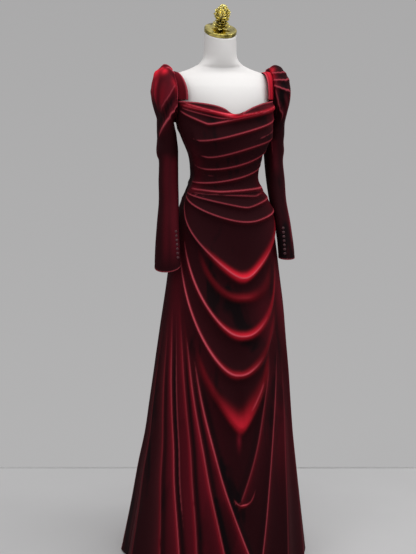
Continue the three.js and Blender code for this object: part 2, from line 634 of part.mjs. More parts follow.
makeGownBody();
makeStrap('strap_left', strap.widthLeft, false);
makeStrap('strap_right', strap.widthRight, true);
makeSleeve('sleeve_left', cuffSlant.left, false);
makeSleeve('sleeve_right', cuffSlant.right, true);
makeButtons('left', cuffSlant.left, false);
makeButtons('right', cuffSlant.right, true);
makeZip();
makeForm();
makeHead();
makeStand();

export default root;
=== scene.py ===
import bpy
import bmesh
import math
import numpy as np
from mathutils import Matrix, Vector


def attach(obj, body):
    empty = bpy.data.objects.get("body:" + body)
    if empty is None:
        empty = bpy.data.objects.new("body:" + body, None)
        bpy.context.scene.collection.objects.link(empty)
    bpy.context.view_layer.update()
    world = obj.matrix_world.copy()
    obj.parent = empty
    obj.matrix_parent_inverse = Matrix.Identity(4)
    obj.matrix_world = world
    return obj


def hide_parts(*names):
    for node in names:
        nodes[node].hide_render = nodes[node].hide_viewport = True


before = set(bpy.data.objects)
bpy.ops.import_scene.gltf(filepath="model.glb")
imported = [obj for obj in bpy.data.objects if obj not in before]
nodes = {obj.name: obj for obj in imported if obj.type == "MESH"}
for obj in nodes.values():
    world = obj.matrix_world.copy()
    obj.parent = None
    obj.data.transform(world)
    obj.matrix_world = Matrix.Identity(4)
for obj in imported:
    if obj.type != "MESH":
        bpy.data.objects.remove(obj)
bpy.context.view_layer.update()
print("frame loaded:", len(nodes), "nodes")

# Tables are in millimetres and degrees, round the body from its front towards the wearer's left.
mm = 0.001


def table(columns, rows):
    return dict(zip(columns.split(), np.array(rows, float).T))


gown = {
    "seam": 0.3, "armholeSeam": 0.8, "waistZ": 1178, "hemZ": 5, "wall": 1.3,
    "frontColumns": 174, "backColumns": 80,
    "bodiceRows": 108, "lowRows": 78, "swagRows": 196, "swagFootZ": 470,
    "groove": 0.7, "grooveWidth": 2.6, "hemDepth": 22, "hemGroove": 0.4, "edgeLight": 0.4,
}

gownSections = table("z half front back centre shift", [
    (0, 287, 328, 352, 110, 6),
    (177, 259.5, 294, 310, 80, 5),
    (317, 240, 260, 270, 58, 3.5),
    (420, 224.5, 232, 244, 42, 4.5),
    (520, 214.5, 206, 220, 31, 5),
    (686, 199, 168, 182, 16, 7),
    (813, 188.5, 146, 162, 10, 7.5),
    (923, 175, 132, 150, 7, 6),
    (1040, 160, 122, 140, 6, 5),
    (1100, 148, 115, 131, 5, 5),
    (1154, 131, 105, 114, 3, 5),
    (1184, 117, 97, 100, 2, 3),
    (1214, 105, 92, 90, 0, 3),
    (1245, 105, 93, 88, -2, 4),
    (1290, 112, 102, 90, -6, 4),
    (1340, 131, 115, 94, -7, 2),
    (1400, 149, 116, 96, 0, 0),
    (1452, 156, 110, 96, 4, 0),
    (1500, 158, 92, 92, 12, 0),
])

bust = {"angle": 54, "z": 1348, "lift": 15, "round": 27, "up": 58}

# Pleats, cowls and the gathers of the neckline's band, by the points where they end and hang
# lowest. edge is how crisp the crest is.
hangingFolds = table("left leftZ low lowZ right rightZ bend round lift above below edge", [
    (-64, 1440, -1, 1403, 76, 1431, 0.8, 0.08, 9, 12, 7, 0.6),
    (-66, 1420, -30, 1384, 78, 1434, 0.8, 0.15, 8, 17, 9, 0.7),
    (-54, 1342, -43, 1336, 76, 1404, 1, 0.22, 10, 20, 9, 0.8),
    (-64, 1299, -38, 1287, 76, 1349, 0.9, 0.3, 10, 19, 9, 0.8),
    (-70, 1265, -39, 1251, 76, 1312, 1.6, 0.08, 9, 16, 8, 0.8),
    (-78, 1214, -51, 1211, 76, 1265, 1.6, 0.08, 9, 16, 8, 0.8),
    (-70, 1194, -19, 1186, 76, 1194, 0.8, 0.22, 6, 9, 6, 0.6),
    (-82, 1184, 34, 1170, 70, 1186, 0.8, 0.08, 6, 9, 7, 0.6),
    (-82, 1184, 16, 1138, 76, 1168, 0.8, 0.15, 9, 15, 8, 0.8),
    (-80, 1175, 16, 1096, 78, 1136, 1.1, 0.22, 12, 20, 10, 0.8),
    (-76, 1150, 6, 932, 76, 1134, 1, 0.13, 20, 38, 15, 0.8),
    (-36, 984, 7, 872, 40, 946, 1.7, 0.3, 9, 26, 13, 0.3),
    (-56, 1008, 4, 760, 50, 935, 1.2, 0.3, 17, 34, 15, 0.8),
    (-60, 950, -1, 646, 40, 800, 1.2, 0.22, 18, 32, 15, 0.8),
    (-36, 690, -1, 492, 27, 672, 1.1, 0.08, 20, 42, 16, 0.4),
    (-7, 276, -1, 262, 8, 290, 1.9, 0.3, 8, 24, 12, 0.8),
    (-60, 1446, -4, 1411, 10, 1414, 0.9, 0.2, 4, 7, 4, 0.7),
    (-66, 1432, -12, 1400, 60, 1432, 0.9, 0.2, 3, 6, 4, 0.6),
    (-12, 1406, 6, 1411, 78, 1441, 0.9, 0.2, 3, 6, 4, 0.6),
])

# How those crests catch the light, painted into the cloth's colour, on the left arm, at the lowest
# point and on the right arm. thick widens the painted bright line, glow is the painted red band
# above and below it, taper narrows its upper half along the arms, and soften rounds the right arm.
foldLooks = table("lineLeft lineLow lineRight thick glowLeft glowLow glowRight glowUp glowDown"
                  " taper soften", [
    (0.3, 0.4, 0.3, 1, 0.3, 0.6, 0.3, 4, 5, 0, 0),
    (0.4, 0.5, 0.3, 1, 0.05, 0.1, 0.3, 3, 6, 0, 0),
    (0.1, 0.42, 0.42, 0.9, 0, 0.03, 0.12, 3, 7, 0, 0),
    (0.1, 0.35, 0.32, 0.9, 0, 0.03, 0.1, 3, 7, 0, 0),
    (0.15, 0.36, 0.32, 0.9, 0, 0.03, 0.1, 3, 7, 0, 0),
    (0.2, 0.4, 0.36, 0.9, 0, 0.03, 0.08, 3, 7, 0, 0),
    (0.3, 0.42, 0.45, 1, 0.05, 0.08, 0.12, 3, 6, 0, 0),
    (0.2, 0.2, 0.15, 0.9, 0, 0.03, 0.08, 3, 6, 0, 0),
    (0.35, 0.35, 0.4, 0.9, 0, 0.03, 0.12, 3, 7, 0, 0),
    (0.45, 0.42, 0.5, 0.9, 0, 0.05, 0.12, 3, 8, 0, 0),
    (0.5, 0.95, 0.08, 1, 0, 1, 0.26, 12, 11, 0.6, 0.7),
    (0, 0.05, 0, 1.6, 0.12, 0.22, 0.06, 11, 10, 0.2, 0.6),
    (0.8, 0.95, 0, 1.1, 0.12, 0.75, 0.24, 9, 9, 0.6, 0.8),
    (0.85, 0.8, 0.0, 1.2, 0.1, 0.4, 0.1, 8, 9, 0.2, 0.8),
    (0, 0, 0, 1.5, 0.14, 0.6, 0.2, 30, 14, 0.7, 0.5),
    (0.3, 0.8, 0.2, 1, 0.1, 0.35, 0.1, 3, 7, 0, 0),
    (0.35, 0.8, 0.3, 1.1, 0.3, 0.9, 0.2, 3, 5, 0, 0),
    (0.25, 0.3, 0.25, 0.8, 0.03, 0.06, 0.1, 3, 4, 0, 0),
    (0.15, 0.3, 0.35, 0.8, 0.03, 0.15, 0.4, 3, 6, 0, 0),
])

# Long folds, from top to low. lean makes the left slope longer, line is the brightness of the
# painted highlight on the crest, and stripe is the painted sheen on that slope.
longFolds = table("top topZ low lowZ bow lift width lean edge line stripe", [
    (-92, 840, -80, 0, 0, 12, 40, 0.0, 0.2, 0.05, 0.2),
    (-79, 827, -52, 0, 1, 12, 32, 0.2, 0.4, 0.1, 0.5),
    (-72, 860, -37, 0, 1, 16, 30, 0.4, 0.6, 0.3, 0.9),
    (-62, 893, -28, 0, 5, 12, 24, 0.35, 0.5, 0.15, 0.7),
    (-54, 836, -8, 0, 2, 17, 36, 0.4, 0.7, 0.3, 1),
    (-44, 750, 10, 0, -1, 16, 28, 0.3, 0.8, 0.45, 0.8),
    (30, 740, 0, 300, 3, 13, 26, -0.2, 0.6, 0.15, 0.35),
    (44, 731, 8, 0, -3, 10, 24, -0.1, 0.7, 0.3, 0.25),
    (51, 698, 30, 0, -2, 14, 34, -0.2, 0.3, 0.1, 0.1),
    (64, 860, 53, 0, 0, 13, 36, 0.0, 0.3, 0.1, 0.15),
    (82, 820, 76, 0, 0, 10, 40, 0.0, 0.2, 0.1, 0.2),
    (104, 900, 101, 0, 0, 15, 44, 0.1, 0.4, 0.2, 0.5),
    (126, 960, 122, 0, 0, 18, 46, -0.1, 0.5, 0.25, 0.7),
    (148, 900, 146, 0, 0, 20, 48, 0.1, 0.5, 0.25, 0.8),
    (167, 760, 168, 0, 0, 16, 42, 0.0, 0.4, 0.2, 0.5),
    (-168, 800, -167, 0, 0, 18, 44, 0.0, 0.4, 0.2, 0.6),
    (-147, 930, -144, 0, 0, 20, 48, -0.1, 0.5, 0.25, 0.8),
    (-125, 880, -120, 0, 0, 16, 44, 0.1, 0.5, 0.25, 0.7),
    (-104, 940, -101, 0, 0, 15, 44, 0.0, 0.4, 0.2, 0.5),
])

# Short creases between the long folds and where the cloth pulls: straight lines with soft ends,
# and line is the brightness of the painted highlight on each crest
pulls = table("angle0 z0 angle1 z1 lift width line", [
    (-65, 862, -35, 40, 5, 10, 0.2),
    (-1, 484, -4, 424, 4, 8, 0.0),
    (22, 640, 4, 520, 4, 9, 0.25),
    (-70, 1240, -20, 1228, 2.5, 8, 0.1),
    (30, 1240, 78, 1286, 2.5, 8, 0.15),
    (20, 1330, 70, 1372, 2.5, 9, 0.15),
    (96, 1222, 148, 1196, 4, 8, 0.3),
    (100, 1168, 150, 1158, 4, 8, 0.3),
    (104, 1258, 142, 1232, 3, 8, 0.2),
    (98, 1380, 118, 1330, 3, 9, 0.2),
    (-96, 1216, -146, 1190, 4, 8, 0.3),
    (-102, 1162, -152, 1152, 4, 8, 0.3),
    (-106, 1252, -140, 1236, 3, 8, 0.2),
    (-98, 1384, -120, 1338, 3, 9, 0.2),
    (110, 1120, 160, 1098, 3, 10, 0.2),
    (-112, 1112, -158, 1102, 3, 10, 0.2),
    (114, 700, 112, 60, 6, 16, 0.2),
    (137, 620, 135, 40, 6, 16, 0.2),
    (158, 560, 158, 30, 6, 16, 0.2),
    (-114, 660, -111, 50, 6, 16, 0.2),
    (-135, 600, -132, 40, 6, 16, 0.2),
    (-157, 640, -156, 40, 6, 16, 0.2),
])

# Painted sheen: spots where the pile is coloured redder, as where it faces the light
paintedSheenSpots = table("angle z wide high amount", [
    (62, 900, 18, 150, 0.65),
    (66, 1398, 15, 38, 0.75),
    (46, 1434, 26, 11, 0.5),
    (-14, 1424, 24, 9, 0.5),
    (-66, 1196, 14, 22, 0.35),
    (70, 1184, 15, 48, 0.5),
    (-68, 860, 14, 190, 0.3),
    (-62, 1270, 12, 50, 0.2),
    (-46, 520, 20, 260, 0.28),
    (40, 470, 14, 170, 0.3),
    (-34, 200, 18, 220, 0.25),
    (30, 800, 12, 70, 0.3),
    (-2.5, 452, 1.6, 26, 0.9),
    (112, 1330, 18, 60, 0.3),
    (-116, 1320, 18, 60, 0.3),
    (150, 1010, 22, 90, 0.3),
    (-142, 1000, 22, 90, 0.3),
])

frontNeckline = table("angle z", [
    (-90, 1450), (-64, 1450), (-38, 1446), (-20, 1438), (-10, 1428), (-2, 1413),
    (10, 1419), (22, 1432), (39, 1444), (65, 1450), (90, 1450),
])
backNeckline = table("angle z", [(90, 1454), (120, 1454), (150, 1452), (165, 1442), (180, 1438)])

# The folds flatten towards the armhole, over calm of its size
armhole = {"y": 22, "z": 1462, "foreAft": 56, "height": 75, "underarmZ": 1420, "calm": 0.3}
# Shares of a strap's width, from its outer edge: lipAt where its painted highlight is brightest and
# lineAt where a painted highlight line runs along its inner edge. The painted sheen and the lip's
# painted highlight are by side, 1 for left.
strap = {
    "outerX": (149, 155, 112),
    "widthLeft": (24, 25, 26), "widthRight": (24, 18, 26),
    "from": -9, "to": 189, "rows": 110, "across": 16,
    "joinZ": 1452, "join": 16, "clearance": 3, "droop": 2, "forward": 26, "wall": 1.3, "crown": 1.2,
    "endTurn": 4, "stroke": {1: 0.9, -1: 0.4}, "lip": {1: 0.6, -1: 0.06},
    "lipAt": 0.4, "lipWidth": 0.3, "lipBase": 0.4, "lineAt": 0.93, "line": 0.5,
}


def smooth(t):
    s = np.clip(t, 0, 1)
    return s * s * (3 - 2 * s)


# Smooth curve through one column of a table, and through each of some columns by height
def lookUp(rows, key, column, value):
    x, y = rows[key], rows[column]
    slope = np.empty_like(y)
    slope[1:-1] = (y[2:] - y[:-2]) / (x[2:] - x[:-2])
    slope[0] = (y[1] - y[0]) / (x[1] - x[0])
    slope[-1] = (y[-1] - y[-2]) / (x[-1] - x[-2])
    at = np.clip(value, x[0], x[-1])
    i = np.clip(np.searchsorted(x, at, side="right") - 1, 0, len(x) - 2)
    span = x[i + 1] - x[i]
    t = (at - x[i]) / span
    return ((2 * t**3 - 3 * t**2 + 1) * y[i] + (t**3 - 2 * t**2 + t) * slope[i] * span
            + (3 * t**2 - 2 * t**3) * y[i + 1] + (t**3 - t**2) * slope[i + 1] * span)


def atHeight(sections, z, columns):
    return [lookUp(sections, "z", column, z) for column in columns.split()]


def turnedFrom(start, angle):
    return (angle - start + 540) % 360 - 180


def rowsOf(rows):
    count = len(next(iter(rows.values())))
    return [{name: values[i] for name, values in rows.items()} for i in range(count)]


# Side view of a crest: a round hump mixed with a crisp lip, which has a rounded tip in millimetres
# and a fall that is a share of the crest's width
crestLip = {"tip": 1.5, "fall": 0.62}


def crestShape(across, width, edge, tip=crestLip["tip"]):
    hump = np.exp(-((across / width) ** 2))
    lip = np.exp(-(np.hypot(across, tip) - tip) / (crestLip["fall"] * width))
    return (1 - edge) * hump + edge * lip


# Along a pleat, from 0 where it hangs lowest to 1 at its end: where the arm's look is reached,
# and where its lift and its marks begin to fade, and over how much
arm = {"look": 0.55, "liftFrom": 0.5, "liftOver": 0.7, "markFrom": 0.8, "markOver": 0.35,
       "taper": 0.8, "steady": 0.4, "bandPower": 2.6}


# One pleat or cowl: its height, and its marks: the way to its crest, the brightness of the crest's
# painted highlight and the painted red glow of the band beside it
def hangingRelief(fold, angle, z, radius):
    toLeft = angle < fold["low"]
    span = np.where(toLeft, fold["low"] - fold["left"], fold["right"] - fold["low"])
    rise = np.where(toLeft, fold["leftZ"], fold["rightZ"]) - fold["lowZ"]
    u = np.maximum(np.abs(angle - fold["low"]) / span, 0.02)
    full = math.hypot(1, fold["round"]) - fold["round"]
    climb = np.maximum((np.hypot(u, fold["round"]) - fold["round"]) / full, 0.001)
    crestZ = fold["lowZ"] + rise * climb ** fold["bend"]
    slant = rise / (span * math.radians(1) * radius)
    steepness = fold["bend"] * climb ** (fold["bend"] - 1) * u / np.hypot(u, fold["round"]) / full
    across = (z - crestZ) / np.hypot(1, steepness * slant)
    width = np.where(across > 0, fold["above"], fold["below"])
    toArm = smooth(u / arm["look"])
    fade = 1 - smooth((u - arm["markFrom"]) / arm["markOver"])
    softer = fold["soften"] * np.where(toLeft, 0, toArm)
    lift = fold["lift"] * (1 - smooth((u - arm["liftFrom"]) / arm["liftOver"]))
    line, glow = (fold[part + "Low"] * (1 - toArm)
                  + np.where(toLeft, fold[part + "Left"], fold[part + "Right"]) * toArm
                  for part in ("line", "glow"))
    above = fold["glowUp"] * (1 - fold["taper"] * smooth(u / arm["taper"]))
    spread = np.where(across > 0, above, fold["glowDown"]) * (1 + softer)
    steady = np.hypot(1, slant / full * np.maximum(u, arm["steady"]))
    band = np.exp(-(np.abs((z - crestZ) / steady / spread) ** arm["bandPower"]))
    look = {"across": across / fold["thick"], "line": line * fade, "lip": glow * fade * band}
    return lift * crestShape(across, width, fold["edge"] * (1 - softer)), look


# A long fold's width at its top as a share of its foot's, how far it fades in and out, the stripe
# of painted sheen and painted highlight on its longer slope, and the painted shade of the valley on
# the other, in millimetres from the crest
longShape = {"topWidth": 0.55, "fadeIn": 0.3, "fadeOut": 0.2, "tip": 3.0, "stripeFrom": 4,
             "stripeOver": 9, "stripeReach": 0.7, "lip": 0.3, "lipWidth": 7, "valley": 11,
             "valleyWidth": 8, "valleyShare": 1.6}


def longRelief(fold, angle, z, radius):
    t = (fold["topZ"] - z) / (fold["topZ"] - fold["lowZ"])
    crest = fold["top"] + (fold["low"] - fold["top"]) * t + 4 * fold["bow"] * t * (1 - t)
    across = turnedFrom(crest, angle) * math.radians(1) * radius
    grown = longShape["topWidth"] + (1 - longShape["topWidth"]) * t
    width = np.maximum(fold["width"] * grown * (1 - np.sign(across) * fold["lean"]), 1)
    fade = smooth(t / longShape["fadeIn"]) * (1 - smooth((t - 1) / longShape["fadeOut"])) * (t > 0)
    height = fold["lift"] * fade * (0.5 + 0.5 * np.minimum(t, 1))
    slope = across if fold["lean"] >= 0 else -across
    side = smooth(-(slope - longShape["stripeFrom"]) / longShape["stripeOver"])
    reach = longShape["stripeReach"] * width
    stripe = fold["stripe"] * fade * side * np.exp(np.minimum(slope, 0) / reach)
    valley = np.exp(-(((slope - longShape["valley"]) / longShape["valleyWidth"]) ** 2))
    look = {"across": across, "line": fold["line"] * fade, "stroke": np.minimum(stripe, 1),
            "lip": longShape["lip"] * stripe * np.exp(-((slope / longShape["lipWidth"]) ** 2)),
            "shade": fade * valley * min(1, longShape["valleyShare"] * fold["stripe"])}
    return height * crestShape(across, width, fold["edge"], longShape["tip"]), look


# One short crease along a straight line of angle and height. It fades over a share of its length
# at both ends.
pullShape = {"fade": 0.35, "edge": 0.5}


def pullRelief(pull, angle, z, radius):
    perDegree = math.radians(1) * radius
    x, y = turnedFrom(pull["angle0"], angle) * perDegree, z - pull["z0"]
    runX, runY = (pull["angle1"] - pull["angle0"]) * perDegree, pull["z1"] - pull["z0"]
    length = np.hypot(runX, runY)
    along = (x * runX + y * runY) / length**2
    across = (x * runY - y * runX) / length
    fade = smooth(along / pullShape["fade"]) * smooth((1 - along) / pullShape["fade"])
    height = pull["lift"] * fade * crestShape(across, pull["width"], pullShape["edge"])
    return height, {"across": across, "line": pull["line"] * fade}


# Marks that the cloth's material reads for its painted light: the way to the nearest crest, the
# brightness of its painted highlight line, a painted highlight on a lip and painted sheen. shade
# is painted shade, which takes them back to the dark ground. Distances are in millimetres: a faint
# crest counts as that much further off, and a line ends between lineFrom and lineFrom + lineOver.
markRange = {"far": 60.0, "limit": 30, "faint": 12, "bright": 0.25, "lineFrom": 9, "lineOver": 9,
             "apartFrom": 1.8, "apartOver": 0.9, "valleyShade": 0.08, "valleyLip": 0.3}


def newMarks(shape):
    marks = {name: np.zeros(shape) for name in ("line", "lip", "stroke", "shade")}
    marks.update({name: np.full(shape, markRange["far"]) for name in ("away", "nearest", "second")})
    return marks


def addLook(marks, look, share=1.0):
    for name in ("lip", "stroke", "shade"):
        if name in look:
            marks[name] = np.maximum(marks[name], look[name] * share)
    line = look["line"] * share
    faint = markRange["faint"] * (1 - np.minimum(line / markRange["bright"], 1))
    reach = np.abs(look["across"]) + faint
    wins = reach < marks["nearest"]
    marks["second"] = np.where(wins, marks["nearest"], np.minimum(marks["second"], reach))
    marks["nearest"] = np.where(wins, reach, marks["nearest"])
    marks["away"] = np.where(wins, look["across"], marks["away"])
    marks["line"] = np.where(wins, line, marks["line"])


# Midway between two crests neither is bright, so no false line shows there
def settleMarks(marks):
    ratio = marks.pop("second") / (marks.pop("nearest") + 0.5)
    apart = smooth((ratio - markRange["apartFrom"]) / markRange["apartOver"])
    ends = smooth((np.abs(marks["away"]) - markRange["lineFrom"]) / markRange["lineOver"])
    marks["line"] = marks["line"] * apart * (1 - ends)
    marks["away"] = np.clip(marks["away"], -markRange["limit"], markRange["limit"])
    marks["near"] = np.abs(marks["away"])
    # Painted shade in the valleys takes away the painted sheen and goes below zero to darken the patches
    # too, and dims the lip's painted highlight
    dark = 1 - marks.pop("shade")
    marks["stroke"] = marks["stroke"] * dark - markRange["valleyShade"] * (1 - dark)
    share = markRange["valleyLip"] + (1 - markRange["valleyLip"]) * dark
    marks["lip"] = np.clip(marks["lip"] * share, 0, 1)
    return marks


# Height of all the folds and the cloth's marks. Pleats and cowls end before the side seams.
sideFade = {"from": 74, "over": 12}


def foldRelief(angle, z, radius):
    towardsSide = 1 - smooth((np.abs(angle) - sideFade["from"]) / sideFade["over"])
    besideBust = (np.abs(angle) - bust["angle"]) / bust["round"]
    hanging = bust["lift"] * np.exp(-(besideBust**2) - ((z - bust["z"]) / bust["up"]) ** 2)
    marks = newMarks(hanging.shape)
    for fold in rowsOf({**hangingFolds, **foldLooks}):
        lift, look = hangingRelief(fold, angle, z, radius)
        hanging = hanging + lift
        addLook(marks, look, towardsSide)
    long = np.zeros_like(hanging)
    for relief, rows in ((longRelief, longFolds), (pullRelief, pulls)):
        for fold in rowsOf(rows):
            lift, look = relief(fold, angle, z, radius)
            long = long + lift
            addLook(marks, look)
    # Spots of painted sheen
    for spot in rowsOf(paintedSheenSpots):
        turned = turnedFrom(spot["angle"], angle) / spot["wide"]
        blot = spot["amount"] * np.exp(-(turned**2) - ((z - spot["z"]) / spot["high"]) ** 2)
        marks["stroke"] = 1 - (1 - marks["stroke"]) * (1 - blot)
    return hanging * towardsSide + long, marks


def armholeReach(y, z):
    return np.hypot((y - armhole["y"]) / armhole["foreAft"], (z - armhole["z"]) / armhole["height"])


# Points of the gown's outer surface and their marks
def gownSurface(angle, z, inset=0.0):
    sin, cos = np.sin(np.radians(angle)), np.cos(np.radians(angle))
    half, front, back, centre, shift = atHeight(gownSections, z, "half front back centre shift")
    depth = np.where(cos > 0, front, back)
    flatY = centre - depth * cos
    lift, marks = foldRelief(angle, z, (half + depth) / 2)
    outward = lift * smooth((armholeReach(flatY, z) - 1) / armhole["calm"]) - inset
    length = np.hypot(depth * sin, half * cos)
    x = shift + half * sin + depth * sin / length * outward
    y = flatY - half * cos / length * outward
    return np.stack([x, y, z + 0 * x], -1), marks


def upperEdge(angle):
    size = np.abs(angle)
    neckline = np.where(size <= 90, lookUp(frontNeckline, "angle", "z", angle),
                        lookUp(backNeckline, "angle", "z", size))
    y = gownSurface(angle, np.full_like(angle, armhole["underarmZ"]))[0][..., 1]
    across = np.clip((y - armhole["y"]) / armhole["foreAft"], -1, 1)
    underarm = armhole["z"] - armhole["height"] * np.sqrt(1 - across**2) - gown["seam"]
    return np.where(np.abs(across) < 1, np.minimum(neckline, underarm), neckline)


# A sheet of cells from a bmesh grid: place(u, v) gives points and marks for 0 to 1 across and up
def gridPiece(name, columns, rows, place, material, closed=False):
    bm = bmesh.new()
    bmesh.ops.create_grid(bm, x_segments=columns, y_segments=rows, size=0.5)
    uvLayer = bm.loops.layers.uv.new("cloth")
    at = np.array([vertex.co[:2] for vertex in bm.verts]) + 0.5
    points, marks = place(at[:, 0], at[:, 1])
    for face in bm.faces:
        for loop in face.loops:
            loop[uvLayer].uv = loop.vert.co.x + 0.5, loop.vert.co.y + 0.5
    for vertex, point in zip(bm.verts, points * mm):
        vertex.co = point
    for mark, values in marks.items():
        layer = bm.verts.layers.float.new(mark)
        for vertex, value in zip(bm.verts, values):
            vertex[layer] = value
    if closed:
        bmesh.ops.remove_doubles(bm, verts=bm.verts, dist=1e-6)
    return finishMesh(name, bm, material)


def finishMesh(name, bm, material, shade=True):
    mesh = bpy.data.meshes.new(name)
    bm.to_mesh(mesh)
    bm.free()
    if shade:
        mesh.shade_smooth()
    mesh.materials.append(material)
    piece = bpy.data.objects.new(name, mesh)
    bpy.context.scene.collection.objects.link(piece)
    return piece


def giveWall(piece, thickness, offset=-1):
    wall = piece.modifiers.new("wall", "SOLIDIFY")
    wall.thickness = thickness * mm
    wall.offset = offset
    return piece


def register(piece, slot, *replaced, body="gown_and_form"):
    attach(piece, body)
    if replaced:
        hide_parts(*replaced)
    return piece


# Node helpers for the materials. A value is a number, a colour or the output that feeds it.
def feed(tree, socket, value):
    if isinstance(value, bpy.types.NodeSocket):
        tree.links.new(value, socket)
    else:
        socket.default_value = value


def newMaterial(name):
    material = bpy.data.materials.new(name)
    material.use_nodes = True
    tree = material.node_tree
    place = tree.nodes.new("ShaderNodeTexCoord").outputs["Object"]
    return material, tree, tree.nodes["Principled BSDF"], place


def addNode(tree, kind, inputs, **settings):
    node = tree.nodes.new(kind)
    for key, value in settings.items():
        setattr(node, key, value)
    for key, value in inputs.items():
        feed(tree, node.inputs[key], value)
    return node


def addNoise(tree, place, scale, detail, **others):
    inputs = {"Vector": place, "Scale": scale, "Detail": detail, **others}
    return addNode(tree, "ShaderNodeTexNoise", inputs).outputs["Fac"]


def mathNode(tree, operation, *values):
    node = tree.nodes.new("ShaderNodeMath")
    node.operation = operation
    for socket, value in zip(node.inputs, values):
        feed(tree, socket, value)
    return node.outputs["Value"]


# Sockets 6 and 7 are a mix node's two colours, and 2 is the mixed one
def mixColors(tree, factor, first, second):
    inputs = {"Factor": factor, 6: first, 7: second}
    return addNode(tree, "ShaderNodeMix", inputs, data_type="RGBA").outputs[2]


def markNode(tree, mark):
    node = tree.nodes.new("ShaderNodeAttribute")
    node.attribute_name = mark
    return node.outputs["Fac"]


# Sets the shader's sockets, with a bump from height if there is one
def dress(tree, shader, values, height=None, strength=0.0, depth=0.0):
    for name, value in values.items():
        feed(tree, shader.inputs[name], value)
    if height:
        bump = addNode(tree, "ShaderNodeBump", {"Height": height, "Strength": strength, "Distance": depth})
        tree.links.new(bump.outputs["Normal"], shader.inputs["Normal"])


# The ground is the velvet's own dark colour. The second colour is the red of its random patches and also of
# painted sheen, and the lip and crest colours are painted highlights.
velvetLook = {
    "Ground": (0.0052, 0.0022, 0.003, 1), "PatchAndSheen": (0.13, 0.006, 0.014, 1),
    "Lip": (0.8, 0.018, 0.04, 1), "Crest": (0.8, 0.11, 0.15, 1),
    "Patch Scale": 9.0, "Grain Scale": 1500.0, "Line Width": 2.2,
}
velvetSurface = {"Roughness": 0.75, "Specular IOR Level": 0.05, "Sheen Weight": 0.09,
                 "Sheen Roughness": 0.3, "Sheen Tint": (0.55, 0.03, 0.06, 1)}
# Patches run along the drop of the cloth. Their noise becomes a faint red tone up to patchTop, it makes the
# painted sheen and the painted crest highlights uneven, and clear keeps false painted crest lines out of
# the cells between two.
pile = {"drop": 0.35, "patchGain": 1.8, "patchFrom": -0.72, "patchTop": 0.12, "strokeGain": 0.9,
        "strokeFrom": 0.55, "crestGain": 0.8, "crestFrom": 0.6, "clear": 5.0,
        "bump": 0.12, "bumpDepth": 0.0004}


# Pile of a velvet: a dark ground, random red patches, painted sheen, painted highlights on the lips
# and thin painted highlights along the crests
def makePileGroup():
    group = bpy.data.node_groups.new("velvetPile", "ShaderNodeTree")
    for name, value in velvetLook.items():
        kind = "NodeSocketFloat" if isinstance(value, float) else "NodeSocketColor"
        group.interface.new_socket(name=name, in_out="INPUT", socket_type=kind).default_value = value
    group.interface.new_socket(name="Color", in_out="OUTPUT", socket_type="NodeSocketColor")
    group.interface.new_socket(name="Height", in_out="OUTPUT", socket_type="NodeSocketFloat")
    look = group.nodes.new("NodeGroupInput").outputs
    result = group.nodes.new("NodeGroupOutput")
    place = group.nodes.new("ShaderNodeTexCoord").outputs["Object"]
    away, near, line, lip, stroke = (markNode(group, m) for m in ("away", "near", "line", "lip", "stroke"))
    stretch = addNode(group, "ShaderNodeMapping", {"Vector": place, "Scale": (1.0, 1.0, pile["drop"])})
    patches = addNoise(group, stretch.outputs["Vector"], look["Patch Scale"], 3.0,
                       Roughness=0.55, Distortion=0.4)
    grain = addNoise(group, place, look["Grain Scale"], 2.0, Roughness=0.7)

    patch = mathNode(group, "MULTIPLY_ADD", patches, pile["patchGain"], pile["patchFrom"])
    patch = mathNode(group, "MAXIMUM", mathNode(group, "MINIMUM", patch, pile["patchTop"]), 0.0)
    # Painted sheen where the mark asks for it, made uneven by the patches; below zero it is painted shade
    paintedSheenMix = mathNode(group, "MULTIPLY_ADD", patches, pile["strokeGain"], pile["strokeFrom"])
    paintedSheenMix = mathNode(group, "MULTIPLY", paintedSheenMix, stroke)
    soft = mathNode(group, "MINIMUM", mathNode(group, "ADD", patch, paintedSheenMix), 1.0)
    # Painted highlight: a thin bright line along each crest, falling off with the way to it
    clear = mathNode(group, "SUBTRACT", near, pile["clear"])
    away = mathNode(group, "MAXIMUM", mathNode(group, "ABSOLUTE", away, 0.0), clear)
    away = mathNode(group, "DIVIDE", away, look["Line Width"])
    fall = mathNode(group, "MULTIPLY", mathNode(group, "MULTIPLY", away, away), -1.0)
    uneven = mathNode(group, "MULTIPLY_ADD", patches, pile["crestGain"], pile["crestFrom"])
    crest = mathNode(group, "MULTIPLY", mathNode(group, "EXPONENT", fall), line)
    crest = mathNode(group, "MINIMUM", mathNode(group, "MULTIPLY", crest, uneven), 1.0)
    # The ground with its patches and painted sheen, then the painted lip and crest highlights
    color = mixColors(group, soft, look["Ground"], look["PatchAndSheen"])
    color = mixColors(group, lip, color, look["Lip"])
    color = mixColors(group, crest, color, look["Crest"])
    feed(group, result.inputs["Color"], color)
    feed(group, result.inputs["Height"], grain)
    return group


def makeVelvet(name, group, look, surface):
    material, tree, shader, place = newMaterial(name)
    made = tree.nodes.new("ShaderNodeGroup")
    made.node_tree = group
    for key, value in look.items():
        made.inputs[key].default_value = value
    dress(tree, shader, {**surface, "Base Color": made.outputs["Color"]}, made.outputs["Height"],
          pile["bump"], pile["bumpDepth"])
    return material


jerseyLook = {"light": (0.78, 0.762, 0.752, 1), "dark": (0.7, 0.682, 0.672, 1), "soilScale": 5.0,
              "knitScale": 900.0, "bump": 0.08, "bumpDepth": 0.0003}
jerseySurface = {"Roughness": 0.85, "Sheen Weight": 0.25, "Sheen Roughness": 0.5}


def makeJersey():
    material, tree, shader, place = newMaterial("jersey")
    soil = addNoise(tree, place, jerseyLook["soilScale"], 4.0)
    knit = addNode(tree, "ShaderNodeTexWave", {"Vector": place, "Scale": jerseyLook["knitScale"],
                                               "Distortion": 1.5, "Detail": 1.0})
    color = mixColors(tree, soil, jerseyLook["light"], jerseyLook["dark"])
    dress(tree, shader, {**jerseySurface, "Base Color": color}, knit.outputs["Fac"],
          jerseyLook["bump"], jerseyLook["bumpDepth"])
    return material
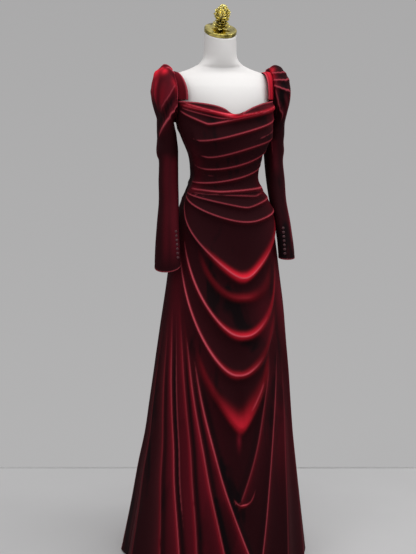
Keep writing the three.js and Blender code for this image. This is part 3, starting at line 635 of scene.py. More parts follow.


# rough is the roughness at both ends of the noise, and steep sharpens its patches. These are wear,
# but on gilt the bright and dark patches are painted glints and reflections, and giltShade's dark
# colours are painted shade.
metals = {
    "gilt": {"bright": (0.9, 0.76, 0.22, 1), "wornAndReflected": (0.12, 0.095, 0.02, 1), "scale": 40.0,
             "rough": (0.08, 0.25), "metallic": 1.0, "steep": 4.0},
    "giltShade": {"bright": (0.16, 0.12, 0.02, 1), "wornAndReflected": (0.05, 0.035, 0.008, 1), "scale": 90.0,
                  "rough": (0.4, 0.6), "metallic": 1.0, "steep": 1.0},
    "zipLacquer": {"bright": (0.25, 0.02, 0.05, 1), "wornAndReflected": (0.12, 0.01, 0.025, 1), "scale": 300.0,
                   "rough": (0.3, 0.5), "metallic": 0.6, "steep": 1.0},
    "enamel": {"bright": (0.75, 0.74, 0.71, 1), "wornAndReflected": (0.66, 0.65, 0.62, 1), "scale": 25.0,
               "rough": (0.35, 0.5), "metallic": 0.0, "steep": 1.0},
}
metalBump = {"strength": 0.15, "depth": 0.0002}


def makeMetal(name):
    look = metals[name]
    material, tree, shader, place = newMaterial(name)
    wearAndReflection = addNoise(tree, place, look["scale"], 5.0, Roughness=0.6)
    ends = {"Value": wearAndReflection, "To Min": look["rough"][0], "To Max": look["rough"][1]}
    rough = addNode(tree, "ShaderNodeMapRange", ends).outputs["Result"]
    patchy = mathNode(tree, "MULTIPLY_ADD", wearAndReflection, look["steep"], 0.5 - 0.5 * look["steep"])
    color = mixColors(tree, patchy, look["bright"], look["wornAndReflected"])
    dress(tree, shader, {"Base Color": color, "Metallic": look["metallic"], "Roughness": rough}, wearAndReflection,
          metalBump["strength"], metalBump["depth"])
    return material


# Cast gilt, with painted shade in the roots of its scales and painted highlights at their tips
castLook = {"root": (0.08, 0.058, 0.01, 1), "tip": (0.92, 0.8, 0.28, 1), "pitScale": 160.0,
            "wornAndReflected": 0.7, "bump": 0.3, "bumpDepth": 0.0004}


def makeCastGilt():
    material, tree, shader, place = newMaterial("giltCast")
    pits = addNoise(tree, place, castLook["pitScale"], 3.0)
    wornAndReflected = mathNode(tree, "MULTIPLY_ADD", pits, castLook["wornAndReflected"], -castLook["wornAndReflected"] / 2)
    bright = mathNode(tree, "ADD", markNode(tree, "raised"), wornAndReflected)
    color = mixColors(tree, bright, castLook["root"], castLook["tip"])
    dress(tree, shader, {"Base Color": color, "Metallic": 1.0, "Roughness": 0.2}, pits,
          castLook["bump"], castLook["bumpDepth"])
    return material


tapeLook = {"dark": (0.05, 0.004, 0.01, 1), "light": (0.09, 0.008, 0.018, 1), "weaveScale": 700.0,
            "bump": 0.3, "bumpDepth": 0.0003}


def makeTapeCloth():
    material, tree, shader, place = newMaterial("zipTapeWeave")
    inputs = {"Vector": place, "Scale": tapeLook["weaveScale"], "Distortion": 0.6}
    weave = addNode(tree, "ShaderNodeTexWave", inputs, bands_direction="Z").outputs["Fac"]
    color = mixColors(tree, weave, tapeLook["dark"], tapeLook["light"])
    dress(tree, shader, {"Base Color": color, "Roughness": 0.8}, weave, tapeLook["bump"],
          tapeLook["bumpDepth"])
    return material


# Covered buttons: the velvet with a lighter ground, painted glints, on a glossier surface
buttonLook = {**velvetLook, "Ground": (0.04, 0.005, 0.009, 1)}
buttonSurface = {**velvetSurface, "Roughness": 0.5, "Specular IOR Level": 0.4, "Sheen Weight": 0.2}
pileGroup = makePileGroup()
velvet = makeVelvet("burgundyVelvet", pileGroup, velvetLook, velvetSurface)
coveredButton = makeVelvet("coveredButton", pileGroup, buttonLook, buttonSurface)
jersey = makeJersey()
gilt, giltShade, zipLacquer, enamel = (makeMetal(name) for name in metals)
giltCast = makeCastGilt()
tapeCloth = makeTapeCloth()
print("materials made")


# Panels of the gown. A painted highlight line runs that many millimetres inside an open edge.
edgeLine = 1.5


def panel(name, fromAngle, toAngle, columns, rows, levels, lower, upper, replaced):
    def place(u, v):
        middle = (toAngle - fromAngle) / 2
        edge = upper((fromAngle + toAngle) / 2 + (2 * u - 1) * middle)
        z = lower + levels(v) * (edge - lower)
        half = lookUp(gownSections, "z", "half", z)
        halfSeam = np.degrees(gown["seam"] / 2 / half)
        angle = (fromAngle + toAngle) / 2 + (2 * u - 1) * (middle - halfSeam)
        fromSide = (middle - np.abs(2 * u - 1) * middle) * math.radians(1) * half
        seams = np.exp(-((np.minimum(fromSide, np.abs(z - gown["waistZ"])) / gown["grooveWidth"]) ** 2))
        hem = np.exp(-(((z - gown["hemZ"] - gown["hemDepth"]) / gown["grooveWidth"]) ** 2))
        points, marks = gownSurface(angle, z, gown["groove"] * seams + gown["hemGroove"] * hem)
        # Painted highlight line along the bodice's upper edge
        if name.startswith("velvet_bodice"):
            addLook(marks, {"across": edge - z - edgeLine, "line": gown["edgeLight"] * np.ones_like(z)})
        return points, settleMarks(marks)

    piece = giveWall(gridPiece(name, columns, rows, place, velvet), gown["wall"])
    return register(piece, "velvet", replaced)


def skirtLevels(v):
    rows = gown["lowRows"] + gown["swagRows"]
    lowShare = gown["lowRows"] / rows
    top = gown["waistZ"] - gown["seam"] / 2
    swagFoot = (gown["swagFootZ"] - gown["hemZ"]) / (top - gown["hemZ"])
    upper = swagFoot + (v - lowShare) / (1 - lowShare) * (1 - swagFoot)
    return np.where(v < lowShare, v / lowShare * swagFoot, upper)


def makeGownBody():
    bodiceFoot = gown["waistZ"] + gown["seam"] / 2
    skirtTop = gown["waistZ"] - gown["seam"] / 2
    skirtRows = gown["lowRows"] + gown["swagRows"]
    sides = {"front": (-90, 90, gown["frontColumns"]), "back_left": (90, 180, gown["backColumns"]),
             "back_right": (-180, -90, gown["backColumns"])}
    for side, (start, end, columns) in sides.items():
        panel("velvet_bodice_" + side, start, end, columns, gown["bodiceRows"],
              lambda v: v, bodiceFoot, upperEdge, "bodice_" + side)
        panel("velvet_skirt_" + side, start, end, columns, skirtRows,
              skirtLevels, gown["hemZ"], lambda angle: skirtTop + 0 * angle, "skirt_" + side)


makeGownBody()
print("gown body made")


# Armhole seam and straps. turn is 0 in front, 90 at the shoulder and 180 behind.
def roundStrap(values, turn):
    front, top, back = values
    cos = np.cos(np.radians(turn))
    return np.where(cos > 0, front, back) * cos**2 + top * (1 - cos**2)


def armholePoint(turn, outward=0.0):
    y = armhole["y"] - armhole["foreAft"] * np.cos(np.radians(turn))
    z = armhole["z"] + armhole["height"] * np.sin(np.radians(turn))
    onStrap = roundStrap(strap["outerX"], turn)
    low = np.minimum(z, strap["joinZ"])
    front, back, centre = atHeight(gownSections, low, "front back centre")
    depth = np.where(y < centre, front, back)
    angle = np.degrees(np.arccos(np.clip((centre - y) / depth, -1, 1)))
    onBodice = gownSurface(angle, low)[0][..., 0]
    blend = smooth((z - strap["joinZ"]) / strap["join"] + 1)
    return np.stack([onBodice + (onStrap - onBodice) * blend + outward, y, z], -1)


def makeStrap(name, widths, side, replaced):
    def place(u, v):
        across = u if side < 0 else 1 - u      # keeps the faces outward on both sides
        turn = strap["from"] + (strap["to"] - strap["from"]) * v
        point = armholePoint(turn, -gown["seam"])
        width = roundStrap(widths, turn)
        ends = smooth(-turn / strap["endTurn"]) + smooth((turn - 180) / strap["endTurn"])
        overShoulder = np.maximum(np.sin(np.radians(turn)), 0)
        crown = strap["crown"] * np.sin(np.pi * across) * overShoulder
        x = point[:, 0] - width * across
        y = point[:, 1] - strap["forward"] * np.maximum(np.cos(np.radians(turn)), 0) * across
        fall = strap["droop"] * np.sin(np.radians(turn)) * across**2
        z = point[:, 2] + strap["clearance"] * ends - fall + crown
        # Painted sheen all over, by side, with a painted highlight band and a painted highlight line
        marks = newMarks(u.shape)
        marks["stroke"] += strap["stroke"][side]
        shine = np.exp(-(((across - strap["lipAt"]) / strap["lipWidth"]) ** 2))
        marks["lip"] += strap["lip"][side] * (strap["lipBase"] + (1 - strap["lipBase"]) * shine)
        addLook(marks, {"across": (across - strap["lineAt"]) * width,
                        "line": strap["line"] * np.ones_like(u)})
        return np.stack([side * x, y, z], -1), settleMarks(marks)

    piece = gridPiece(name, strap["across"], strap["rows"], place, velvet)
    register(giveWall(piece, strap["wall"]), "velvet", replaced)


makeStrap("velvet_strap_left", strap["widthLeft"], 1, "strap_left")
makeStrap("velvet_strap_right", strap["widthRight"], -1, "strap_right")

# Sleeves. The rings are the solids' own, and the cloth between them is a smooth curve.
puffRings = table("inX inZ outX outZ y depth bow", [
    (158, 1387, 163, 1547, 21, 62, 17),
    (157, 1385, 178, 1552, 20, 68, 10),
    (155, 1382, 198, 1538, 19, 71, 5),
    (153, 1378, 211, 1505, 18, 71, 0),
    (150, 1372, 213, 1465, 18, 65, 0),
    (147, 1364, 205, 1422, 17, 56, 0),
    (143, 1352, 199, 1387, 17, 48, 0),
    (140, 1334, 199, 1354, 17, 42, 0),
])
armRings = table("x y z long short turn", [
    (168, 16, 1306, 37, 31, 5),
    (166, 13, 1268, 34, 28, 8),
    (169, 4, 1213, 36, 28, 12),
    (172, -10, 1153, 39, 26, 17),
    (180, -29, 1092, 43, 25, 22),
    (185, -43, 1038, 47, 24, 27),
    (187, -50, 1006, 49, 24, 29),
    (188, -54, 979, 50, 24, 30),
])
sleeve = {"wall": 1.2, "sides": 112, "rows": 200, "cuffSlantLeft": 5, "cuffSlantRight": 30,
          "hemRow": 15.55, "hemGroove": 0.5, "hemWidth": 0.07, "edgeLight": 0.3, "frontBow": 0.3,
          "slantFrom": 4, "slantOver": 3, "flatHead": 0.25}

# Pleats of the head and creases of the arm. Each path is pairs of ring number down the sleeve
# and degrees round it, from its outer point to the front; then come lift, width, edge, how
# bright the painted highlight of its crest is and how much painted sheen lies beside it.
# backCreases are on both sleeves.
backCreases = [
    ([(0.2, -50), (2.5, -55), (5.0, -54)], 8, 10, 0.6, 0.5, 0.2),
    ([(0.2, -80), (3.0, -90), (6.4, -86)], 9, 11, 0.6, 0.5, 0.2),
    ([(7.8, -60), (9.2, -30), (10.0, -4)], 3, 9, 0.5, 0.3, 0.2),
    ([(8.4, -110), (9.6, -80), (10.6, -40)], 3, 9, 0.5, 0.3, 0.2),
    ([(10.2, -130), (12.0, -110), (14.5, -96)], 2, 11, 0.3, 0.1, 0.3),
]
leftCreases = [
    ([(0.1, 25), (1.1, 38), (1.9, 42), (2.7, 32), (3.3, 18)], 6, 8, 0.8, 0.35, 0.1),
    ([(0.1, 50), (1.1, 58), (2.0, 60), (2.7, 55), (3.6, 30), (4.0, 20)], 6, 8, 0.8, 0.4, 0.1),
    ([(0.1, 64), (1.4, 74), (2.2, 77), (3.0, 74), (3.8, 62), (4.6, 50)], 6, 8, 0.8, 0.45, 0.1),
    ([(0.3, 76), (0.8, 78), (1.4, 94), (2.1, 108), (3.3, 116), (5.2, 105), (6.2, 96)],
     6, 8, 0.7, 0.25, 0.3),
    ([(2.6, 92), (4.2, 90), (6.4, 72)], 4, 9, 0.4, 0.0, 0.6),
    ([(0.2, -2), (1.6, -6), (3.4, -4)], 7, 10, 0.5, 0.2, 0.2),
    ([(0.2, -24), (2.5, -28), (5.0, -26)], 9, 10, 0.6, 0.5, 0.2),
    ([(7.2, 10), (9.1, 18), (11.1, 10), (13.0, 25), (15.9, 16)], 1.6, 9, 0.3, 0.2, 0.5),
    ([(8.0, 130), (9.6, 104), (11.0, 96)], 2.5, 9, 0.4, 0.1, 0.2),
]
rightCreases = [
    ([(0.7, 100), (1.8, 113), (3.6, 114), (5.4, 96), (6.4, 73), (7.2, 53), (7.8, 38), (8.3, 17),
      (8.9, -6)], 9, 10, 0.7, 0.6, 0.5),
    ([(0.9, 68), (1.5, 72), (2.4, 80), (3.1, 83), (3.9, 80), (4.7, 72), (5.5, 56), (6.3, 34)],
     6, 11, 0.5, 0.2, 0.6),
    ([(2.8, -8), (3.4, -1), (3.9, 17), (4.2, 26), (4.7, 29), (5.6, 30)], 4, 11, 0.3, 0.0, 0.9),
    ([(0.1, 30), (1.0, 34), (2.2, 20)], 5, 8, 0.5, 0.5, 0.9),
    ([(0.1, 8), (1.0, 12), (2.6, -2)], 6, 8, 0.5, 0.5, 0.9),
    ([(0.1, -20), (1.4, -28), (3.0, -24)], 6, 9, 0.5, 0.4, 0.6),
    ([(0.1, 46), (0.4, 78), (0.9, 104)], 3, 8, 0.5, 0.4, 0.9),
    ([(9.0, 64), (10.1, 64), (11.2, 54), (13.5, 33), (15.9, 24)], 1.6, 12, 0.2, 0.0, 0.3),
    ([(9.2, 119), (10.8, 108), (12.1, 93), (13.4, 83), (15.9, 66)], 1.5, 16, 0.1, 0.0, 0.35),
]
# Patches of painted light on the sleeve's pile: painted highlight on the crumpled top, painted
# sheen, and painted shade between pleats
patchColumns = "row side high wide stroke lip shade"
backPatches = [(3.0, -70, 2.5, 40, 0.3, 0, 0), (2.0, -120, 1.5, 30, 0.3, 0, 0)]
rightPatches = table(patchColumns, [
    (3.1, 4, 0.5, 16, 0, 0.95, 0), (2.5, 14, 0.35, 7, 0, 0.6, 0), (2.4, 30, 0.45, 9, 0, 0.8, 0),
    (0.6, 18, 0.6, 12, 0, 0.7, 0), (4.2, -2, 0.8, 14, 0.8, 0.3, 0), (4.4, 26, 0.9, 7, 0.6, 0.3, 0),
    (2.6, 58, 1.4, 26, 0.6, 0, 0), (4.4, 58, 1.0, 14, 0.5, 0.1, 0), (1.2, 70, 0.7, 14, 0.4, 0.35, 0),
    (3.4, 98, 0.8, 7, 0, 0, 1), (4.4, 90, 0.7, 7, 0, 0, 1), (5.2, 80, 0.7, 8, 0, 0, 1),
    (6.0, 62, 0.7, 9, 0, 0, 1), (6.7, 40, 0.6, 12, 0, 0, 1), (7.3, 18, 0.5, 14, 0, 0, 1),
    (6.2, 4, 0.7, 18, 0, 0, 1), (7.9, 0, 0.5, 16, 0, 0, 1), *backPatches,
])
leftPatches = table(patchColumns, [
    (0.5, 12, 0.7, 14, 0.3, 0.6, 0), (0.3, 40, 0.5, 16, 0.5, 0.45, 0), (3.6, 27, 0.3, 5, 0, 0.8, 0),
    (4.3, 58, 0.3, 5, 0, 0.5, 0), (5.4, 40, 0.9, 12, 0.5, 0, 0), (1.0, 60, 0.7, 24, 0.4, 0, 0),
    (2.2, 26, 0.9, 10, 0, 0, 0.7), (2.6, 50, 0.9, 5, 0, 0, 0.7), (2.9, 67, 0.9, 5, 0, 0, 0.8),
    (2.6, 92, 1.4, 12, 0, 0, 0.9), (4.6, 76, 0.9, 14, 0, 0, 0.6), *backPatches,
])
# Where the sleeve is pinched in between two pleats
rightPinches = table("side row wide high depth", [(6, 6.45, 40, 0.4, 7), (14, 8.5, 36, 0.35, 5)])
leftPinches = table("side row wide high depth", [(20, 8.6, 40, 0.4, 3), (170, 8.7, 40, 0.4, 3)])


# The sleeve's rings as a grid of points, rings down it and sides round it
def sleeveRings(side, slant):
    cos, sin = np.cos(np.radians(side)), np.sin(np.radians(side))
    rings = [armholePoint(90 - side, gown["armholeSeam"])]
    for ring in rowsOf(puffRings):
        outX, outZ = (ring["outX"] - ring["inX"]) / 2, (ring["outZ"] - ring["inZ"]) / 2
        bow = ring["bow"] * sin**2 * np.where(sin > 0, sleeve["frontBow"], 1)
        rings.append(np.stack([ring["inX"] + outX * (1 + cos) - bow, ring["y"] - ring["depth"] * sin,
                               ring["inZ"] + outZ * (1 + cos)], -1))
    for i, ring in enumerate(rowsOf(armRings)):
        c, s = cos * ring["short"], sin * ring["long"]
        tc, ts = math.cos(math.radians(ring["turn"])), math.sin(math.radians(ring["turn"]))
        nearCuff = smooth((i - sleeve["slantFrom"]) / sleeve["slantOver"])
        z = ring["z"] - slant * nearCuff * (1 + cos) / 2
        rings.append(np.stack([ring["x"] + c * tc - s * ts, ring["y"] - c * ts - s * tc, z], -1))
    return np.array(rings)


# Smooth curve through the rings at row numbers between them
def throughRings(rings, row):
    last = len(rings) - 1
    i = np.clip(np.floor(row).astype(int), 0, last - 1)
    t = (row - i)[:, None]
    column = np.arange(len(row))
    p = [rings[np.clip(i + k, 0, last), column] for k in (-1, 0, 1, 2)]
    return 0.5 * (2 * p[1] + (p[2] - p[0]) * t + (2 * p[0] - 5 * p[1] + 4 * p[2] - p[3]) * t**2
                  + (3 * p[1] - p[0] - 3 * p[2] + p[3]) * t**3)


# How many rows up and down the slope of the surface and the steering of a path are measured over
nudge = {"row": 0.05, "path": 0.2}
# Shares of a crease's length where it fades in and out, and of its width where its painted sheen lies
creaseShape = {"fadeIn": 0.14, "fadeOut": 0.28, "strokeAt": 0.4, "strokeWidth": 1.3}


def makeSleeve(name, side, slant, creases, patches, pinches, replaced):
    lastRow = len(puffRings["y"]) + len(armRings["y"])

    def surface(angle, row):
        return throughRings(sleeveRings(angle, slant), np.clip(row, 0, lastRow))

    # A soft spot of the table, from its middle
    def blot(spot, angle, row):
        turned = turnedFrom(spot["side"], angle) / spot["wide"]
        return np.exp(-(turned**2) - ((row - spot["row"]) / spot["high"]) ** 2)

    def place(u, v):
        angle = 360 * (1 - u if side > 0 else u)
        row = (1 - v) * lastRow
        point = surface(angle, row)
        around = surface(angle + 1, row) - surface(angle - 1, row)
        down = surface(angle, row + nudge["row"]) - surface(angle, row - nudge["row"])
        outward = np.cross(down, around)
        outward /= np.linalg.norm(outward, axis=1)[:, None]
        outward *= np.sign(np.sum(outward * (point - surface(angle + 180, row)), axis=1))[:, None]
        perDegree = np.linalg.norm(around, axis=1) / 2
        perRow = np.linalg.norm(down, axis=1) / (2 * nudge["row"])
        marks = newMarks(u.shape)
        lift = np.zeros(len(u))
        for path, height, width, edge, line, stroke in creases + backCreases:
            rows, sides = np.array(path, float).T
            above, below = (np.interp(row + step * nudge["path"], rows, sides) for step in (-1, 1))
            steer = (below - above) / (2 * nudge["path"]) * perDegree / perRow
            across = turnedFrom(np.interp(row, rows, sides), angle) * perDegree / np.hypot(1, steer)
            t = (row - rows[0]) / (rows[-1] - rows[0])
            fade = smooth(t / creaseShape["fadeIn"]) * smooth((1 - t) / creaseShape["fadeOut"])
            lift += height * fade * crestShape(across, width, edge)
            # Painted sheen beside the crease, and a painted highlight along its crest
            beside = (across / width + creaseShape["strokeAt"]) / creaseShape["strokeWidth"]
            addLook(marks, {"across": across, "line": line * fade,
                            "stroke": stroke * fade * np.exp(-(beside**2))})
        # Painted highlight, painted sheen and painted shade from the patches
        for patch in rowsOf(patches):
            for kind in ("stroke", "lip", "shade"):
                marks[kind] = 1 - (1 - marks[kind]) * (1 - patch[kind] * blot(patch, angle, row))
        for pinch in rowsOf(pinches):
            lift -= pinch["depth"] * blot(pinch, angle, row)
        lift -= sleeve["hemGroove"] * np.exp(-(((row - sleeve["hemRow"]) / sleeve["hemWidth"]) ** 2))
        # Painted highlight line just inside the cuff's edge
        addLook(marks, {"across": (lastRow - row) * perRow - edgeLine,
                        "line": sleeve["edgeLight"] * np.ones_like(row)})
        point = point + outward * (lift * smooth(row / sleeve["flatHead"]))[:, None]
        point[:, 0] *= side
        return point, settleMarks(marks)

    piece = gridPiece(name, sleeve["sides"], sleeve["rows"], place, velvet, closed=True)
    register(giveWall(piece, sleeve["wall"]), "velvet", replaced)


makeSleeve("velvet_sleeve_left", 1, sleeve["cuffSlantLeft"], leftCreases, leftPatches, leftPinches,
           "sleeve_left")
makeSleeve("velvet_sleeve_right", -1, sleeve["cuffSlantRight"], rightCreases, rightPatches, rightPinches,
           "sleeve_right")
print("sleeves and straps made")

# Dress form
formSections = table("z half front back centre", [
    (962, 126, 94, 96, 4),
    (1000, 138, 104, 114, 4),
    (1050, 142, 106, 120, 4),
    (1100, 131, 101, 114, 4),
    (1154, 114, 92, 98, 3),
    (1190, 98, 84, 85, 2),
    (1240, 90, 80, 76, 0),
    (1290, 97, 88, 78, -4),
    (1340, 117, 101, 82, -5),
    (1400, 136, 102, 84, 2),
    (1452, 145, 94, 77, 8),
    (1490, 149, 84, 62, 18),
    (1514, 148.5, 62, 48, 24),
    (1526, 143, 47, 45, 28),
    (1531, 135, 42, 42, 29),
    (1536, 122, 39, 39, 30),
    (1546, 93, 38, 38, 31),
    (1559, 68, 43, 42, 31),
    (1576, 53, 47, 46, 31),
    (1600, 49, 48, 48, 30),
    (1650, 48.5, 48.5, 48.5, 30),
])
form = {"sides": 96, "rows": 190, "neckY": 30, "neckZ": 1653, "slant": 25, "slantFrom": 1600,
        "seamZ": 1558, "seamDip": 9, "seamDepth": 1.6, "seamWidth": 2.2}
cap = {"radius": 49, "thickness": 12, "bevel": 2, "gap": 0.3}


def makeTorso():
    footZ, topZ = formSections["z"][[0, -1]]

    def place(u, v):
        angle = 360 * u - 180
        sin, cos = np.sin(np.radians(angle)), np.cos(np.radians(angle))
        z = footZ + (topZ - footZ) * v
        half, front, back, centre = atHeight(formSections, z, "half front back centre")
        depth = np.where(cos > 0, front, back)
        seamZ = form["seamZ"] - form["seamDip"] * cos
        neckSeam = form["seamDepth"] * np.exp(-(((z - seamZ) / form["seamWidth"]) ** 2))
        x, y = (half - neckSeam) * sin, centre - (depth - neckSeam) * cos
        slanted = np.clip((z - form["slantFrom"]) / (topZ - form["slantFrom"]), 0, 1)
        rise = (y - form["neckY"]) * math.tan(math.radians(form["slant"])) + form["neckZ"] - topZ
        return np.stack([x, y, z + rise * slanted], -1), {}

    piece = gridPiece("form_body", form["sides"], form["rows"], place, jersey, closed=True)
    bm = bmesh.new()
    bm.from_mesh(piece.data)
    bmesh.ops.holes_fill(bm, edges=[edge for edge in bm.edges if edge.is_boundary])
    bm.to_mesh(piece.data)
    bm.free()
    register(piece, "jersey", "form_torso")


makeTorso()

# Head of the form: cap, leafy stem and cone all stand on the neck's slant
headMatrix = (Matrix.Translation((0, form["neckY"] * mm, form["neckZ"] * mm))
              @ Matrix.Rotation(math.radians(form["slant"]), 4, "X"))


# Turned solid from (radius, height) pairs in millimetres
def spinProfile(name, pairs, steps, matrix, material):
    bm = bmesh.new()
    ring = [bm.verts.new((r * mm, 0, h * mm)) for r, h in pairs]
    edges = [bm.edges.new(pair) for pair in zip(ring, ring[1:])]
    bmesh.ops.spin(bm, geom=ring + edges, cent=(0, 0, 0), axis=(0, 0, 1), angle=2 * math.pi,
                   steps=steps, use_merge=True)
    bmesh.ops.remove_doubles(bm, verts=bm.verts, dist=1e-6)
    bmesh.ops.recalc_face_normals(bm, faces=bm.faces)
    bmesh.ops.transform(bm, matrix=matrix, verts=bm.verts)
    return finishMesh(name, bm, material)


# Quarter of a circle in a turned profile, up a bottom edge or inward over a top one
def roundedCorner(radius, height, corner, steps, inward):
    pairs = []
    for k in range(steps + 1):
        turn = math.pi / 2 * k / steps
        out, up = (math.cos(turn), math.sin(turn)) if inward else (math.sin(turn), 1 - math.cos(turn))
        foot = height - corner if inward else height
        pairs.append((radius - corner + corner * out, foot + corner * up))
    return pairs


def makeCap():
    low, high = cap["gap"], cap["gap"] + cap["thickness"]
    pairs = [(0, low), *roundedCorner(cap["radius"], low, cap["bevel"], 5, False),
             *roundedCorner(cap["radius"], high, cap["bevel"], 5, True), (0, high)]
    register(spinProfile("gilt_cap", pairs, 72, headMatrix, gilt), "gilt", "form_cap")


finial = {"foot": 12.6, "stem": [(0, 0), (14, 0), (15.5, 1.5), (14, 3.5), (8, 6), (6.8, 9), (8, 13),
                                 (11.5, 18), (13.5, 21), (12, 22), (0, 22)],
          "coreFoot": 34.9, "coreLength": 47, "coneRadius": 19.5, "scaleDepth": 5, "coreSteps": 12,
          "blunt": 0.16, "belly": 0.8, "scaleWall": 1.6, "leafWall": 1.2}
# Rings of scales up the cone, and of leaves round its stem: height, radius, how many, the turn
# of the first, their size, how far they lean in and how far their tips curl out
scaleRings = table("height radius count turn size lean curl", [
    (36, 11.5, 6, 0, 14, -30, 0.34),
    (42.5, 15, 7, 24, 15, -18, 0.34),
    (49.5, 16.5, 8, 2, 15, -7, 0.32),
    (56.5, 16, 7, 25, 14.5, 4, 0.32),
    (63, 13.5, 7, 4, 14, 14, 0.3),
    (69, 9.5, 5, 28, 13, 26, 0.25),
    (74, 5, 4, 10, 11, 42, 0.15),
])
leafRings = table("height radius count turn size lean curl", [
    (13, 10.5, 7, 0, 15, -38, 0.6),
    (19, 8.5, 6, 30, 16, -20, 0.6),
    (26, 8, 5, 8, 13, -22, 0.5),
])


# Leaf-shaped scales, ridged down the middle, each a little off its place. raised is 1 at the tips
# and paints highlights on the tips and ridges and shade in the roots.
# Widths, the ridge and the length are shares of a scale's size.
scale = {"cells": 6, "uneven": 0.12, "turned": 5, "foot": 0.35, "belly": 0.7, "bellyFrom": 0.2,
         "bellyOver": 0.68, "ridge": 0.28, "length": 1.1, "sunk": 2,
         "raisedFoot": 0.12, "raisedTip": 0.95, "raisedRidge": 0.3}


def makeScales(name, rings, thickness):
    bm = bmesh.new()
    raised = bm.verts.layers.float.new("raised")
    for number, ring in enumerate(rowsOf(rings)):
        for k in range(int(ring["count"])):
            uneven = math.sin(5.3 * number + 2.9 * k)
            size = ring["size"] * (1 + scale["uneven"] * uneven)
            made = bmesh.ops.create_grid(bm, x_segments=scale["cells"], y_segments=scale["cells"], size=0.5)
            for vertex in made["verts"]:
                x, y = vertex.co.x, vertex.co.y + 0.5
                middle = 1 - 4 * x * x
                belly = math.sin(math.pi * (scale["bellyFrom"] + scale["bellyOver"] * y))
                width = scale["foot"] + scale["belly"] * belly
                ridge = scale["ridge"] * middle * (1 - 0.3 * y) + ring["curl"] * y * y
                lit = scale["raisedFoot"] + scale["raisedTip"] * y * y + scale["raisedRidge"] * middle
                vertex[raised] = min(1, lit)
                vertex.co = Vector((x * width, ridge, y * scale["length"])) * size * mm
            turn = ring["turn"] + 360 * k / ring["count"] + scale["turned"] * uneven
            around = Matrix.Rotation(math.radians(turn), 4, "Z")
            spot = Matrix.Translation((0, (ring["radius"] - scale["sunk"]) * mm, ring["height"] * mm))
            lean = Matrix.Rotation(math.radians(ring["lean"]), 4, "X")
            bmesh.ops.transform(bm, matrix=headMatrix @ around @ spot @ lean, verts=made["verts"])
    register(giveWall(finishMesh(name, bm, giltCast), thickness, offset=0), "gilt")


def makeFinial():
    makeScales("finial_scales", scaleRings, finial["scaleWall"])
    makeScales("finial_leaves", leafRings, finial["leafWall"])
    core = [(0, finial["coreFoot"])]
    for k in range(finial["coreSteps"] + 1):
        t = k / finial["coreSteps"]
        upCone = finial["blunt"] + (1 - finial["blunt"]) * t
        radius = finial["coneRadius"] * math.sin(math.pi * upCone ** finial["belly"]) - finial["scaleDepth"]
        core.append((max(radius, 0), finial["coreFoot"] + 0.2 + finial["coreLength"] * t))
    # The core between the scales is dark all over: painted shade
    register(spinProfile("finial_core", core, 32, headMatrix, giltShade), "gilt", "finial_cone")
    stem = [(r, finial["foot"] + h) for r, h in finial["stem"]]
    register(spinProfile("finial_turned_stem", stem, 40, headMatrix, gilt), "gilt", "finial_stem")


makeCap()
makeFinial()
print("form made")

# Stand under the gown
stand = {"radius": 152, "height": 12, "bevel": 3, "collar": 24, "collarHeight": 34, "pole": 13,
         "gap": 0.3, "edge": 0.5, "fillet": 2, "taper": 3, "chamfer": 1}


def makeStand():
    radius, height, collar, top = (stand[k] for k in ("radius", "height", "collar", "collarHeight"))
    edge, fillet, taper, chamfer = (stand[k] for k in ("edge", "fillet", "taper", "chamfer"))
    foot = [(0, 0), (radius - edge, 0), (radius, edge),
            *roundedCorner(radius, height, stand["bevel"], 5, True), (collar + fillet, height),
            (collar, height + fillet), (collar - taper, top - chamfer),
            (collar - taper - chamfer, top), (0, top)]
    low, high, pole = top + stand["gap"], formSections["z"][0] - stand["gap"], stand["pole"]
    rod = [(0, low), (pole, low), (pole, high), (0, high)]
    for name, node, pairs, steps in (("stand_foot", "form_base", foot, 96),
                                     ("stand_rod", "form_pole", rod, 40)):
        piece = spinProfile(name, pairs, steps, Matrix.Identity(4), enamel)
        register(piece, "enamelled_iron", node)


makeStand()

# Covered buttons on the cuffs, each on its solid's own place
button = {"radius": 4.6, "flat": 0.62, "sunk": 0.4, "cuffX": 187, "cuffY": -45}


def makeButtons(sideName, side):
    bm = bmesh.new()
    names = sorted(n for n in nodes if n.startswith("button_" + sideName))
    for name in names:
        spots = np.array([v.co for v in nodes[name].data.vertices], float)
        centre = (spots.min(0) + spots.max(0)) / 2
        cuff = np.array([side * button["cuffX"] * mm, button["cuffY"] * mm, centre[2]])
        axis = np.linalg.svd(spots - spots.mean(0))[2][2]
        axis *= np.sign(axis @ (centre - cuff))
        turn = Vector(axis).to_track_quat("Z", "Y").to_matrix().to_4x4()
        spot = Matrix.Translation(Vector(centre) - button["sunk"] * mm * Vector(axis))
        squash = Matrix.Diagonal((1, 1, button["flat"], 1))
        made = bmesh.ops.create_uvsphere(bm, u_segments=20, v_segments=12, radius=button["radius"] * mm)
        bmesh.ops.transform(bm, matrix=spot @ turn @ squash, verts=made["verts"])
    register(finishMesh("cuff_buttons_" + sideName, bm, coveredButton), "covered_button", *names)


makeButtons("left", 1)
makeButtons("right", -1)

# Zip: a woven tape behind the centre back seam, and its slider and pull from the solids
zipSize = {"lowZ": 1010, "lowGap": 2, "topGap": 1, "halfWidth": 11, "thickness": 0.8, "gap": 0.8,
           "cloth": 1.6, "across": 12, "rows": 150, "edge": 0.2, "edgeAngle": 40, "flatAngle": 2}


